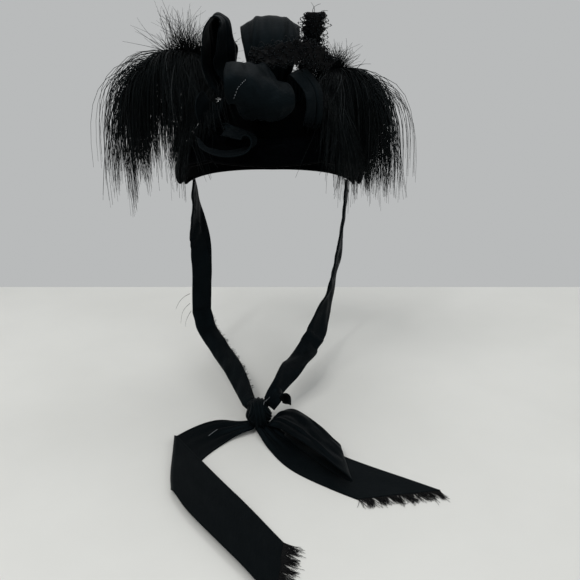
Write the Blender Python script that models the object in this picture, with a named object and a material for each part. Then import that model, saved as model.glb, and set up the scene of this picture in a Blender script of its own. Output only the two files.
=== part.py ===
"""Mourning bonnet of black silk and velvet with a ribbon bow, two ostrich plumes and long ties.

Run with blender --background --python part.py, or from Blender's text editor.
The frame is +Z up with the wearer facing -Y. The origin is the inside of the crown's top,
where the bonnet sits on a head. All sizes below are millimetres, angles are degrees.
"""
import math

import bpy
import bmesh
import numpy as np

MM = 0.001

# Driving sizes of the crown
HEAD_WIDTH = 162.0
HEAD_LENGTH = 190.0
CROWN_DEPTH = 88.0
CROWN_WALL = 2.5
BAND_HEIGHT = 19.0
BAND_THICKNESS = 8.0

# Driving sizes of the ribbon, which the bow, the ties and their tails share
RIBBON_WIDTH = 43.0
CLOTH = 1.6
BEAD_CLOTH = 2.4

# Where the ties meet and what they lie on, measured from the origin
REST_DROP = 293.0
KNOT_FORWARD = 121.0
KNOT_SIDE = -9.0
KNOT_WIDTH = 25.0
KNOT_HEIGHT = 26.0
KNOT_SEAT_RISE = -40.0
KNOT_GROOVE = 0.08
KNOT_POLE = 80.0
EAR_HEADING = 6.0
EAR_RISE = 28.0
LEFT_REACH = 78.0
RIGHT_REACH = 150.0

# Driving sizes of the plumes
PLUME_REACH = 68.0
LOCK_LENGTH = 93.0
LOCK_WIDTH = 17.0
QUILL_WIDTH = 8.0
LOCK_STAGGER = 0.015

# How a lock leaves the quill, as shares of its length, and the powers that bend its path
LOCK_SPREAD = 0.46
SPREAD_POWER = 2.4
LOCK_RISE = 0.10
LOCK_FALL = 0.98
FALL_POWER = 1.7

# A lock's width in shares of LOCK_WIDTH at its root, belly and tip, and thickness to width
LOCK_ROOT = 0.35
LOCK_BELLY = 1.5
LOCK_TIP = 0.45
LOCK_FLATNESS = 0.36
QUILL_FLATNESS = 0.6
QUILL_TIP = 0.5

# The gap left between pieces that are sewn together
SEAM_GAP = 0.4

# Resolution: points around the crown and the band, rings up the crown, points across a
# ribbon, the step along it, and the sections of each other form
AROUND = 40
BAND_SIDES = 10
RINGS = 9
ACROSS = 5
STEP_ALONG = 9.0
KNOT_RINGS = 7
KNOT_SIDES = 12
QUILL_SECTIONS = 8
LOCK_SECTIONS = 7
LOOP_SECTIONS = 8
HALF_LOOP_SECTIONS = 26
PATH_POINTS = 40
QUILL_POINTS = 100

# How far the rim lies below the top, by degrees from the front, in shares of CROWN_DEPTH
RIM = (
    # turn, drop
    (0, 0.70),
    (38, 0.685),
    (62, 0.78),
    (88, 1.04),
    (130, 1.04),
    (180, 1.06),
)


def unit(vector):
    """Gives a vector, or each vector of an array, the length one."""
    vector = np.asarray(vector, float)
    return vector / np.linalg.norm(vector, axis=-1, keepdims=True)


def ease(rows, count):
    """Reads count rows off a smooth curve through all the given rows."""
    rows = np.asarray(rows, float)
    ends = np.vstack([2 * rows[0] - rows[1], rows, 2 * rows[-1] - rows[-2]])
    out = []
    for place in np.linspace(0, len(rows) - 1, count):
        index = min(int(place), len(rows) - 2)
        t = place - index
        a, b, c, d = ends[index:index + 4]
        out.append(0.5 * (2 * b + (c - a) * t + (2 * a - 5 * b + 4 * c - d) * t ** 2
                          + (3 * b - a - 3 * c + d) * t ** 3))
    return np.array(out)


def path_length(rows):
    """The length of a path whose rows start with a point."""
    return np.linalg.norm(np.diff(np.array(rows)[:, :3], axis=0), axis=1).sum()


# Meshes

def material(name, colour, roughness):
    """Makes a Principled material of one colour."""
    made = bpy.data.materials.new(name)
    made.use_nodes = True
    shader = made.node_tree.nodes["Principled BSDF"]
    shader.inputs["Base Color"].default_value = (*colour, 1.0)
    shader.inputs["Roughness"].default_value = roughness
    shader.inputs["Metallic"].default_value = 0.0
    return made


def add_object(name, points, faces, finish):
    """Makes one named object from points in millimetres, with its faces turned outwards."""
    mesh = bpy.data.meshes.new(name)
    mesh.from_pydata([tuple(point) for point in np.asarray(points) * MM], [], faces)
    work = bmesh.new()
    work.from_mesh(mesh)
    bmesh.ops.recalc_face_normals(work, faces=work.faces)
    work.to_mesh(mesh)
    work.free()
    mesh.shade_smooth()
    mesh.materials.append(finish)
    made = bpy.data.objects.new(name, mesh)
    bpy.context.scene.collection.objects.link(made)
    return made


def grid_normals(grid):
    """Gives the unit normal at each point of a grid of points."""
    along = np.gradient(grid, axis=0)
    across = np.gradient(grid, axis=1)
    return unit(np.cross(along, across))


def solid_sheet(grid, thickness, keep=None):
    """Gives the points and faces of a sheet with a wall, without the cells that keep leaves out."""
    rows, columns = grid.shape[:2]
    lift = grid_normals(grid) * thickness / 2
    points = np.concatenate([(grid + lift).reshape(-1, 3), (grid - lift).reshape(-1, 3)])
    under = rows * columns
    if keep is None:
        keep = np.ones((rows - 1, columns - 1), bool)
    wide = np.pad(keep, 1)
    faces = []
    for i in range(rows - 1):
        for j in range(columns - 1):
            if not keep[i, j]:
                continue
            a = i * columns + j
            b, c, d = a + 1, a + columns + 1, a + columns
            faces.append((a, b, c, d))
            faces.append((under + d, under + c, under + b, under + a))
            sides = (
                (wide[i, j + 1], b, a),
                (wide[i + 2, j + 1], d, c),
                (wide[i + 1, j], a, d),
                (wide[i + 1, j + 2], c, b),
            )
            for covered, first, second in sides:
                if not covered:
                    faces.append((first, second, under + second, under + first))
    used = sorted({index for face in faces for index in face})
    place = {index: number for number, index in enumerate(used)}
    return points[used], [tuple(place[index] for index in face) for face in faces]


def solid_rings(rings, closed=False):
    """Gives the points and faces of a skin over rings, with flat ends or joined into a ring."""
    rings = np.asarray(rings)
    count, around = rings.shape[:2]
    faces = []
    for i in range(count if closed else count - 1):
        for j in range(around):
            k = (j + 1) % around
            here, there = i * around, (i + 1) % count * around
            faces.append((here + j, here + k, there + k, there + j))
    if not closed:
        faces.append(tuple(range(around))[::-1])
        faces.append(tuple(range((count - 1) * around, count * around)))
    return rings.reshape(-1, 3), faces


def fuse(target, others):
    """Joins other objects into the first with a Boolean union, and applies it."""
    for other in others:
        joint = target.modifiers.new("fuse", "BOOLEAN")
        joint.operation = "UNION"
        joint.solver = "MANIFOLD"
        joint.object = other
        baked = bpy.data.meshes.new_from_object(
            target.evaluated_get(bpy.context.evaluated_depsgraph_get()))
        target.modifiers.clear()
        target.data = baked
        bpy.data.objects.remove(other)
    return target


# The crown's surface, which everything sewn to the bonnet follows

def rim_drop(turn):
    """How far the rim lies below the top at a turn from the front."""
    turns, shares = np.array(RIM).T
    return np.interp(abs(turn), turns, shares) * CROWN_DEPTH


def crown_point(turn, drop, lift=0.0):
    """A point above the crown's inner face: turned from the front, below the top, lifted out."""
    high = max(1 - drop / CROWN_DEPTH, 0.0)
    wide = math.sqrt(1 - high ** 2)
    side, front = math.sin(math.radians(turn)), -math.cos(math.radians(turn))
    half_width, half_length = HEAD_WIDTH / 2, HEAD_LENGTH / 2
    point = np.array([half_width * wide * side, half_length * wide * front, -drop])
    outward = unit([wide * side / half_width, wide * front / half_length, high / CROWN_DEPTH])
    return point + outward * lift


def seat(turn, drop, lift):
    """A place on the bonnet: drop in shares of CROWN_DEPTH, lift in shares of RIBBON_WIDTH."""
    base = CROWN_WALL + SEAM_GAP
    return crown_point(turn, drop * CROWN_DEPTH, base + lift * RIBBON_WIDTH)


def make_crown(finish):
    """The crown: a hollow dome with a shaped rim, open below."""
    points, faces = [], []
    for lift in (CROWN_WALL, 0.0):
        start = len(points)
        for ring in range(RINGS):
            rise = 1 - math.sin(math.pi / 2 * ring / RINGS)
            for step in range(AROUND):
                turn = 360 * step / AROUND
                turn = turn - 360 if turn > 180 else turn
                points.append(crown_point(turn, rim_drop(turn) * rise, lift))
        points.append(crown_point(0, 0, lift))
        for ring in range(RINGS):
            for step in range(AROUND):
                after = (step + 1) % AROUND
                a, b = start + ring * AROUND + step, start + ring * AROUND + after
                if ring == RINGS - 1:
                    faces.append((a, b, start + RINGS * AROUND))
                else:
                    faces.append((a, b, b + AROUND, a + AROUND))
    inner = RINGS * AROUND + 1
    for step in range(AROUND):
        after = (step + 1) % AROUND
        faces.append((step, inner + step, inner + after, after))
    return add_object("crown", points, faces, finish)


def make_front_band(finish):
    """The rolled velvet band round the outside of the rim."""
    rings = []
    for step in range(AROUND):
        turn = 360 * step / AROUND
        turn = turn - 360 if turn > 180 else turn
        middle = rim_drop(turn) - BAND_HEIGHT / 2
        ring = []
        for side in range(BAND_SIDES):
            angle = 2 * math.pi * side / BAND_SIDES
            swell = (1 - math.cos(angle)) / 2
            drop = middle - math.sin(angle) * BAND_HEIGHT / 2
            ring.append(crown_point(turn, drop, CROWN_WALL + SEAM_GAP + swell * BAND_THICKNESS))
        rings.append(ring)
    points, faces = solid_rings(rings, closed=True)
    return add_object("front_band", points, faces, finish)


# The bow's loops: each row is a section across the ribbon. Turn is degrees from the front,
# drop is a share of CROWN_DEPTH, lift and width are shares of RIBBON_WIDTH, yaw and pitch are
# the degrees that the ribbon's width points forward and up, and cup bends it across.
BOW_LOOPS = {
    "bow_centre_loop": (
        # turn, drop, lift, width, yaw, pitch, cup
        (6, 0.085, 0.01, 0.45, 0, 0, 0.00),
        (4, 0.115, 0.55, 0.85, 0, 0, 0.04),
        (4, 0.100, 1.10, 1.05, 0, 0, 0.09),
        (5, 0.045, 1.40, 1.10, 0, 0, 0.17),
        (10, 0.010, 1.24, 1.05, 0, 0, 0.16),
        (20, 0.008, 0.62, 0.85, 0, 0, 0.07),
        (40, 0.012, 0.03, 0.42, 0, 0, 0.00),
    ),
    "bow_left_loop": (
        (-38, 0.180, 0.03, 0.30, -60, 34, 0.00),
        (-48, 0.160, 0.60, 0.58, -63, -6, 0.03),
        (-43, 0.128, 1.20, 0.76, -76, -3, 0.05),
        (-39, 0.122, 1.52, 0.80, -88, 14, 0.06),
        (-34, 0.108, 1.66, 0.80, -86, 16, 0.06),
        (-29, 0.103, 1.52, 0.80, -72, 0, 0.05),
        (-31, 0.115, 1.10, 0.72, -60, -10, 0.04),
        (-38, 0.120, 0.60, 0.56, -40, -4, 0.02),
        (-28, 0.155, 0.03, 0.30, -60, 36, 0.00),
    ),
    "bow_front_puff": (
        (-10, 0.160, 0.00, 0.44, 0, 0, 0.00),
        (-11, 0.180, 0.60, 0.70, -1, -5, -0.02),
        (-9, 0.220, 1.12, 0.78, 0, -6, -0.08),
        (-3.5, 0.330, 1.26, 1.12, -10, -20, -0.14),
        (-1, 0.430, 0.98, 1.18, 3, -8, -0.14),
        (-2.5, 0.410, 0.45, 0.74, 1, -4, -0.06),
        (-5, 0.300, 0.02, 0.38, 0, 0, 0.00),
    ),
    "bow_right_fold": (
        (33, 0.170, 0.03, 0.26, -30, -4, 0.00),
        (28, 0.150, 0.42, 0.30, -32, -4, -0.03),
        (21, 0.206, 0.80, 0.32, -36, 17, -0.05),
        (24.5, 0.298, 0.88, 0.38, -36, 17, -0.06),
        (25, 0.374, 0.80, 0.38, -36, 1, -0.06),
        (27, 0.425, 0.42, 0.34, -34, -14, -0.04),
        (33, 0.385, 0.035, 0.25, -30, -14, 0.00),
    ),
    "bow_left_fold": (
        (-42, 0.280, 0.00, 0.28, -30, -16, 0.00),
        (-41, 0.290, 0.32, 0.42, -32, -18, 0.05),
        (-40, 0.335, 0.44, 0.48, -32, -18, 0.07),
        (-39, 0.385, 0.32, 0.42, -28, -14, 0.05),
        (-39, 0.375, 0.00, 0.28, -24, -10, 0.00),
    ),
    "bow_lower_loop": (
        (-26, 0.415, 0.01, 0.12, 60, 0, 0.00),
        (-24, 0.460, 0.30, 0.28, 84, -14, 0.03),
        (-15, 0.500, 0.46, 0.36, 90, -18, 0.05),
        (-7, 0.545, 0.52, 0.42, 90, -16, 0.05),
        (-8, 0.625, 0.54, 0.44, 90, -10, 0.05),
        (-18, 0.655, 0.52, 0.40, 88, -6, 0.04),
        (-29, 0.620, 0.47, 0.34, 84, -4, 0.03),
        (-37, 0.560, 0.40, 0.24, 76, -2, 0.00),
    ),
}


def ribbon_grid(sections, centres, widths, yaws, pitches, cups, square=True):
    """Gives the grid of a ribbon whose sections point across by yaw and pitch."""
    centres = np.asarray(centres)
    along = unit(np.gradient(centres, axis=0))
    yaws, pitches = np.radians(yaws), np.radians(pitches)
    across = np.stack([np.cos(yaws) * np.cos(pitches), -np.sin(yaws) * np.cos(pitches),
                       np.sin(pitches)], axis=1)
    if square:
        across = unit(across - (across * along).sum(1, keepdims=True) * along)
    bend = unit(np.cross(across, along))
    spread = np.linspace(-1, 1, sections)
    half = np.asarray(widths)[:, None, None] / 2
    swell = np.asarray(cups)[:, None, None] * 2 * half
    return (centres[:, None] + across[:, None] * spread[None, :, None] * half
            - bend[:, None] * swell * (spread ** 2)[None, :, None])


def bow_grid(rows):
    """Gives the grid of one loop of the bow from its table."""
    key = [[*seat(turn, drop, lift), width * RIBBON_WIDTH, yaw, pitch, cup]
           for turn, drop, lift, width, yaw, pitch, cup in rows]
    smooth = ease(key, max(LOOP_SECTIONS, round(path_length(key) / STEP_ALONG)))
    return ribbon_grid(ACROSS, smooth[:, :3], *smooth[:, 3:].T)


def make_bow(finish):
    """The bow: each loop is a piece of ribbon of its own, pinched where it is sewn down."""
    for name, rows in BOW_LOOPS.items():
        points, faces = solid_sheet(bow_grid(rows), CLOTH)
        add_object(name, points, faces, finish)


# The beaded lace over the bow, in rows of the same kind
BEAD_PIECES = {
    "bead_crescent": (
        (-9, 0.179, 1.120, 0.20, 0, 60, 0.00),
        (3, 0.193, 1.140, 0.34, 0, 60, 0.05),
        (17, 0.180, 1.19, 0.44, 0, 60, 0.08),
        (30, 0.175, 1.14, 0.42, 0, 50, 0.06),
        (47, 0.190, 0.96, 0.28, 0, 40, 0.04),
    ),
    "bead_spray": (
        (52, 0.105, 0.03, 0.30, 0, 0, 0.00),
        (43, 0.105, 0.70, 0.38, 0, 0, 0.03),
        (35.5, 0.112, 1.30, 0.44, 0, 6, 0.05),
        (31, 0.120, 1.76, 0.40, 0, 18, 0.05),
    ),
}


def make_beads(finish):
    """The crescent of beaded lace across the bow, and the spray that stands beside it."""
    for name, rows in BEAD_PIECES.items():
        points, faces = solid_sheet(bow_grid(rows), BEAD_CLOTH)
        add_object(name, points, faces, finish)


# The ties, from the rim's two sides to the knot. Each row gives side and forward from the rim
# to the knot and the drop, all as shares of those distances, then width as a share of
# RIBBON_WIDTH, yaw, pitch and cup.
TIE_ROWS = {
    "tie_left": (
        # side, forward, drop, width, yaw, pitch, cup
        (0.00, 0.00, 0.00, 0.90, 84, 0, 0.00),
        (0.03, 0.02, 0.22, 0.72, 106, 0, 0.03),
        (0.07, 0.02, 0.44, 0.54, 150, 0, 0.05),
        (0.06, 0.06, 0.84, 0.52, 152, -2, 0.05),
        (0.38, 0.31, 0.94, 0.47, 162, -17, 0.05),
        (0.72, 0.64, 0.97, 0.44, 172, -15, 0.04),
        (1.00, 1.00, 1.00, 0.40, 190, -20, 0.00),
    ),
    "tie_right": (
        (0.00, 0.00, 0.00, 0.90, 96, 0, 0.00),
        (0.03, 0.02, 0.22, 0.76, 98, 0, 0.03),
        (0.09, 0.02, 0.46, 0.60, 112, 0, 0.05),
        (0.25, 0.14, 0.73, 0.54, 118, -20, 0.05),
        (0.48, 0.43, 0.88, 0.50, 128, -4, 0.05),
        (0.76, 0.77, 0.92, 0.47, 131, -3, 0.04),
        (1.00, 1.00, 1.00, 0.29, 138, -6, 0.00),
    ),
}
TIE_TURN = 106.0

# The way from the knot's middle to where a tie comes in: side, back and up
TIE_WAY = (0.62, 0.50, 0.60)


def knot_centre():
    """The middle of the knot, which lies on the surface below."""
    return np.array([KNOT_SIDE, -KNOT_FORWARD, -REST_DROP + KNOT_HEIGHT / 2])


def tie_grid(side, rows):
    """Gives the grid of one tie from its table, for the side -1 or 1."""
    top = crown_point(side * TIE_TURN, rim_drop(TIE_TURN) + 2 * SEAM_GAP, CROWN_WALL / 2)
    away = unit([side * TIE_WAY[0], TIE_WAY[1], TIE_WAY[2]])
    reach = np.array([KNOT_WIDTH, KNOT_WIDTH, KNOT_HEIGHT]) / 2
    foot = knot_centre() + away * reach + away * (SEAM_GAP + CLOTH)
    span = foot - top
    key = [[*(top + span * (across, forward, drop)), width * RIBBON_WIDTH, yaw, pitch, cup]
           for across, forward, drop, width, yaw, pitch, cup in rows]
    smooth = ease(key, round(path_length(key) / STEP_ALONG))
    return ribbon_grid(ACROSS, smooth[:, :3], *smooth[:, 3:].T)


def make_ties(finish):
    """The two ties, each a ribbon folded lengthwise to half its width."""
    for side, (name, rows) in zip((-1, 1), TIE_ROWS.items()):
        points, faces = solid_sheet(tie_grid(side, rows), CLOTH)
        add_object(name, points, faces, finish)


# The knot and what comes out of it

def knot_reach(angle):
    """Half the knot's width at an angle in radians, less in the grooves between its wraps."""
    return KNOT_WIDTH / 2 * (1 - KNOT_GROOVE * (1 - math.cos(3 * angle)) / 2)


def make_knot(finish):
    """The knot: a lump of wrapped ribbon with grooves between its wraps."""
    rings = []
    for ring in range(KNOT_RINGS):
        rise = math.radians(KNOT_POLE * (2 * ring / (KNOT_RINGS - 1) - 1))
        row = []
        for side in range(KNOT_SIDES):
            angle = 2 * math.pi * side / KNOT_SIDES
            reach = math.cos(rise) * knot_reach(angle)
            row.append(knot_centre() + [math.cos(angle) * reach, math.sin(angle) * reach,
                                        math.sin(rise) * KNOT_HEIGHT / 2])
        rings.append(row)
    points, faces = solid_rings(rings)
    return add_object("knot", points, faces, finish)


def knot_side(heading, rise=0.0):
    """A place just off the knot's side, at a heading from +X and a rise in degrees."""
    turn, rise = math.radians(heading), math.radians(rise)
    away = np.array([math.cos(turn) * math.cos(rise), math.sin(turn) * math.cos(rise),
                     math.sin(rise)])
    reach = np.array([knot_reach(turn), knot_reach(turn), KNOT_HEIGHT / 2])
    return knot_centre() + away * reach + away * SEAM_GAP


# The small ear of ribbon beside the knot: side, forward and up in shares of KNOT_WIDTH
KNOT_EAR = (
    # side, forward, up, width, yaw
    (0.00, 0.00, 0.00, 0.22, 60),
    (0.12, -0.04, 0.26, 0.30, 62),
    (0.30, -0.08, 0.52, 0.32, 66),
    (0.52, -0.06, 0.46, 0.32, 70),
    (0.60, 0.00, 0.14, 0.28, 72),
)


def make_knot_ear(finish):
    """The small ear of ribbon that stands beside the knot."""
    foot = knot_side(EAR_HEADING, EAR_RISE)
    key = [[*(foot + KNOT_WIDTH * np.array([side, -forward, up])), width * RIBBON_WIDTH, yaw]
           for side, forward, up, width, yaw in KNOT_EAR]
    smooth = ease(key, LOOP_SECTIONS)
    flat = np.zeros(len(smooth))
    grid = ribbon_grid(ACROSS, smooth[:, :3], smooth[:, 3], smooth[:, 4], flat, flat)
    points, faces = solid_sheet(grid, CLOTH)
    return add_object("knot_ear", points, faces, finish)


# The tails. Each row is a place along the middle of the ribbon from its root at the knot, as
# shares of the tail's reach, and the ribbon's width there as a share of RIBBON_WIDTH.
LEFT_TAIL = (
    # side, forward, width
    (0.00, 0.00, 0.36),
    (-0.33, 0.10, 0.68),
    (-0.62, 0.35, 0.90),
    (-0.80, 0.68, 0.92),
    (-1.20, 1.52, 0.88),
    (-1.66, 2.40, 0.86),
)
RIGHT_TAIL = (
    (0.00, 0.00, 0.42),
    (0.12, 0.14, 0.72),
    (0.26, 0.29, 0.96),
    (0.46, 0.44, 1.00),
    (0.72, 0.60, 1.00),
)
LEFT_HEADING = 218.0
RIGHT_HEADING = 305.0
LEFT_SLANT = 0.80
RIGHT_SLANT = 1.18
FOLD_HEADING = 96.0
FOLD_RADIUS = 3.2
FOLD_ROWS = 6
FRINGE_LENGTH = 11.0
FRINGE_HEAD = 3.0
FRINGE_PITCH = 6.0

# Where the folded part comes down to the surface past the crease, and how far the root's
# rise into the knot and the lift of the far edge run, in shares of RIBBON_WIDTH
SETTLE_START = 1.1
ROOT_RAMP = 0.4
EDGE_LIFT = 0.20
EDGE_REACH = 1.25


def along_path(points, places):
    """Reads places by arc length off a path, running straight on past its end."""
    steps = np.linalg.norm(np.diff(points, axis=0), axis=1)
    lengths = np.concatenate([[0], np.cumsum(steps)])
    last = unit(points[-1] - points[-2])
    inside = np.stack([np.interp(places, lengths, points[:, k]) for k in range(2)], axis=-1)
    return inside + np.maximum(places - lengths[-1], 0)[..., None] * last, lengths


def lay_tail(rows, reach, heading, slant, fold=None):
    """Lays a ribbon flat from the knot: gives plan points, and their distances from the root.

    The rows of points run along the crease of a fold, where there is one.
    """
    root = knot_side(heading, KNOT_SEAT_RISE)[:2]
    smooth = ease(rows, PATH_POINTS)
    path = root + smooth[:, :2] * [reach, -reach]
    _, lengths = along_path(path, np.zeros(1))
    spread = np.linspace(-1, 1, ACROSS)
    half = RIBBON_WIDTH / 2
    ends = lengths[-1] + slant * spread * half
    if fold is None:
        places = np.linspace(0, 1, round(lengths[-1] / STEP_ALONG))[:, None] * ends[None, :]
    else:
        crease, outward = fold
        ahead, _ = along_path(path, np.array([reach + 1, reach - 1]))
        forward = unit(ahead[0] - ahead[1])
        lean = forward @ outward
        skew = -(np.array([-forward[1], forward[0]]) @ outward) / lean
        start = reach + skew * spread * half * np.interp(reach, lengths, smooth[:, 2])
        rolled = math.pi * FOLD_RADIUS / lean
        first = np.linspace(0, 1, round(reach / STEP_ALONG))[:-1, None] * start
        middle = start + np.linspace(0, 1, FOLD_ROWS)[:, None] * rolled
        rest = ends - start - rolled
        count = round((lengths[-1] - reach) / STEP_ALONG)
        last = start + rolled + np.linspace(0, 1, count)[1:, None] * rest
        places = np.concatenate([first, middle, last])
    centre, _ = along_path(path, places)
    ahead, _ = along_path(path, places + 1)
    behind, _ = along_path(path, np.maximum(places - 1, 0))
    forward = unit(ahead - behind)
    across = np.stack([-forward[..., 1], forward[..., 0]], axis=-1)
    width = np.interp(places, lengths, smooth[:, 2]) * half
    return centre + across * (spread * width)[..., None], places


def left_fold():
    """The left tail's crease: a point on it, and the way out over it."""
    root = knot_side(LEFT_HEADING, KNOT_SEAT_RISE)[:2]
    path = root + ease(LEFT_TAIL, PATH_POINTS)[:, :2] * [LEFT_REACH, -LEFT_REACH]
    crease, _ = along_path(path, np.array([LEFT_REACH]))
    turn = math.radians(FOLD_HEADING)
    return crease[0], np.array([-math.sin(turn), math.cos(turn)])


def fold_over(plan, low, fold):
    """Rolls the plan over a crease and lays the rest on top, and gives it heights."""
    crease, outward = fold
    past = (plan - crease) @ outward
    rolled = math.pi * FOLD_RADIUS
    angle = np.clip(past, 0, rolled) / FOLD_RADIUS
    back = np.maximum(past - rolled, 0)
    shift = np.where(past > 0, FOLD_RADIUS * np.sin(angle) - past - back, 0)
    rise = FOLD_RADIUS * (1 - np.cos(angle))
    settle = np.clip((back - SETTLE_START * RIBBON_WIDTH) / RIBBON_WIDTH, 0, 1)
    rise *= 1 - settle ** 2 * (3 - 2 * settle)
    return np.concatenate([plan + shift[..., None] * outward, (low + rise)[..., None]], axis=-1)


def tail_heights(plan, places, low):
    """Gives a flat tail its heights: level, with a short rise into the knot."""
    rise = (KNOT_HEIGHT / 2 + math.sin(math.radians(KNOT_SEAT_RISE)) * KNOT_HEIGHT / 2
            - CLOTH / 2)
    lift = rise * np.exp(-(places / (ROOT_RAMP * RIBBON_WIDTH)) ** 2)
    return np.concatenate([plan, (low + lift)[..., None]], axis=-1)


def edge_lift(places):
    """How far the left tail's far edge stands up between its root and the crease."""
    far = (1 - np.linspace(-1, 1, places.shape[1])) / 2
    reach = EDGE_REACH * RIBBON_WIDTH
    start = (1 - np.exp(-(places / (ROOT_RAMP * RIBBON_WIDTH)) ** 2)) ** 2
    return EDGE_LIFT * RIBBON_WIDTH * far ** 2 * start * np.exp(-(places / reach) ** 2)


def surface_level():
    """The height of the middle of a ribbon that lies on the surface below."""
    return -REST_DROP + CLOTH / 2


def make_tails(finish):
    """The two tails: the left one folds over itself, and the right one lies straight."""
    fold = left_fold()
    plan, places = lay_tail(LEFT_TAIL, LEFT_REACH, LEFT_HEADING, LEFT_SLANT, fold)
    grid = fold_over(plan, surface_level(), fold)
    grid[..., 2] += tail_heights(plan, places, 0.0)[..., 2] + edge_lift(places)
    points, faces = solid_sheet(grid, CLOTH)
    add_object("tail_left", points, faces, finish)
    plan, places = lay_tail(RIGHT_TAIL, RIGHT_REACH, RIGHT_HEADING, RIGHT_SLANT)
    points, faces = solid_sheet(tail_heights(plan, places, surface_level()), CLOTH)
    add_object("tail_right", points, faces, finish)


# The half bow beside the right tail: out from the knot, over its squared end and back below.
# Side and forward are shares of RIGHT_REACH, up is a share of KNOT_HEIGHT.
HALF_LOOP = (
    # side, forward, up, width, yaw
    (0.00, 0.00, 0.34, 0.40, 112),
    (0.07, 0.00, 0.46, 0.74, 104),
    (0.19, 0.11, 0.50, 1.00, 94),
    (0.33, 0.30, 0.46, 1.08, 86),
    (0.405, 0.40, 0.40, 1.08, 84),
    (0.415, 0.41, 0.26, 1.08, 84),
    (0.36, 0.34, 0.17, 1.02, 86),
    (0.21, 0.15, 0.16, 0.84, 96),
    (0.10, 0.04, 0.15, 0.50, 106),
)
HALF_LOOP_HEADING = 338.0


def make_half_loop(finish):
    """The half bow: a flattened loop of ribbon that lies over the right tail."""
    foot = knot_side(HALF_LOOP_HEADING, 0)
    foot[2] = -REST_DROP
    key = []
    for side, forward, up, width, yaw in HALF_LOOP:
        place = foot + [side * RIGHT_REACH, -forward * RIGHT_REACH, up * KNOT_HEIGHT]
        key.append([*place, width * RIBBON_WIDTH, yaw])
    smooth = ease(key, HALF_LOOP_SECTIONS)
    flat = np.zeros(len(smooth))
    grid = ribbon_grid(ACROSS, smooth[:, :3], smooth[:, 3], smooth[:, 4], flat, flat, square=False)
    points, faces = solid_sheet(grid, CLOTH)
    return add_object("half_loop", points, faces, finish)


def comb(edge, length, heights):
    """Turns a row of plan points into a strip with teeth: a grid and the cells to keep."""
    run = unit(edge[-1] - edge[0])
    out = np.array([run[1], -run[0]])
    teeth = max(4, round(np.linalg.norm(edge[-1] - edge[0]) / FRINGE_PITCH))
    spread = np.linspace(0, len(edge) - 1, 2 * teeth)
    row = np.stack([np.interp(spread, range(len(edge)), edge[:, k]) for k in range(2)], axis=-1)
    steps = SEAM_GAP + np.array([0, FRINGE_HEAD, FRINGE_HEAD + length / 2, FRINGE_HEAD + length])
    grid = row + steps[:, None, None] * out
    grid = np.concatenate([grid, np.full(grid.shape[:2] + (1,), heights)], axis=-1)
    keep = np.ones((len(steps) - 1, 2 * teeth - 1), bool)
    keep[1:, 1::2] = False
    return grid, keep


def make_fringes(finish):
    """The frayed ends of both tails: a head of cloth with strips of thread."""
    fold = left_fold()
    plan, _ = lay_tail(LEFT_TAIL, LEFT_REACH, LEFT_HEADING, LEFT_SLANT, fold)
    left = fold_over(plan, 0.0, fold)[-1, :, :2]
    plan, _ = lay_tail(RIGHT_TAIL, RIGHT_REACH, RIGHT_HEADING, RIGHT_SLANT)
    right = plan[-1, ::-1]
    for name, edge in (("fringe_left", left), ("fringe_right", right)):
        grid, keep = comb(edge[::-1], FRINGE_LENGTH, surface_level())
        points, faces = solid_sheet(grid, CLOTH, keep)
        add_object(name, points, faces, finish)


# The plumes. The quill's path from its foot on the crown is in shares of the plume's reach.
QUILL = (
    # outward, forward, up
    (0.00, 0.00, 0.00),
    (0.04, 0.01, 0.32),
    (0.17, 0.03, 0.62),
    (0.46, 0.05, 0.68),
    (0.76, 0.07, 0.48),
    (0.94, 0.08, 0.16),
)
PLUMES = (
    # name, side, turn, drop, reach share
    ("plume_left", -1, 78, 0.22, 1.00),
    ("plume_right", 1, 72, 0.18, 0.60),
)
# The rows of locks: place along the quill, swing to the front and the back, length share
LOCK_ROWS = (
    # place, swing, length
    (0.40, 84, 0.80),
    (0.52, 66, 0.95),
    (0.62, 98, 0.88),
    (0.70, 48, 1.04),
    (0.80, 76, 0.96),
    (0.88, 30, 1.06),
    (0.95, 56, 1.00),
    (1.00, 10, 0.98),
)


def keep_off(point, margin):
    """Moves a point out of the crown and its band, sideways, to a margin from them."""
    half = np.array([HEAD_WIDTH, HEAD_LENGTH, 2 * CROWN_DEPTH]) / 2 + margin
    flat = np.array([point[0] / half[0], point[1] / half[1]])
    height = max(point[2] + CROWN_DEPTH, 0) / half[2]
    room = math.sqrt(max(1 - height ** 2, 0))
    reach = np.linalg.norm(flat)
    if reach >= room or reach == 0:
        return point
    flat *= room / reach
    return np.array([flat[0] * half[0], flat[1] * half[1], point[2]])


def lock_path(start, side, swing, length, count):
    """The path of a lock: out from the quill, over, and down under its own weight."""
    turn = math.radians(swing)
    outward = np.array([side * math.cos(turn), -math.sin(turn), 0])
    margin = CROWN_WALL + BAND_THICKNESS + LOCK_WIDTH / 2
    path = []
    for t in np.linspace(0, 1, count):
        spread = LOCK_SPREAD * (1 - (1 - t) ** SPREAD_POWER)
        fall = LOCK_RISE * math.sin(math.pi * t) - LOCK_FALL * t ** FALL_POWER
        path.append(keep_off(start + outward * spread * length + [0, 0, fall * length], margin))
    return np.array(path)


def taper(path, widths, thicknesses, across):
    """Gives the rings of a four-sided strip along a path."""
    along = unit(np.gradient(path, axis=0))
    across = unit(across - (across * along).sum(1, keepdims=True) * along)
    lift = np.cross(along, across)
    rings = []
    for point, wide, thick, side, up in zip(path, widths, thicknesses, across, lift):
        rings.append([point + side * wide / 2, point + up * thick / 2,
                      point - side * wide / 2, point - up * thick / 2])
    return rings


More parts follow.
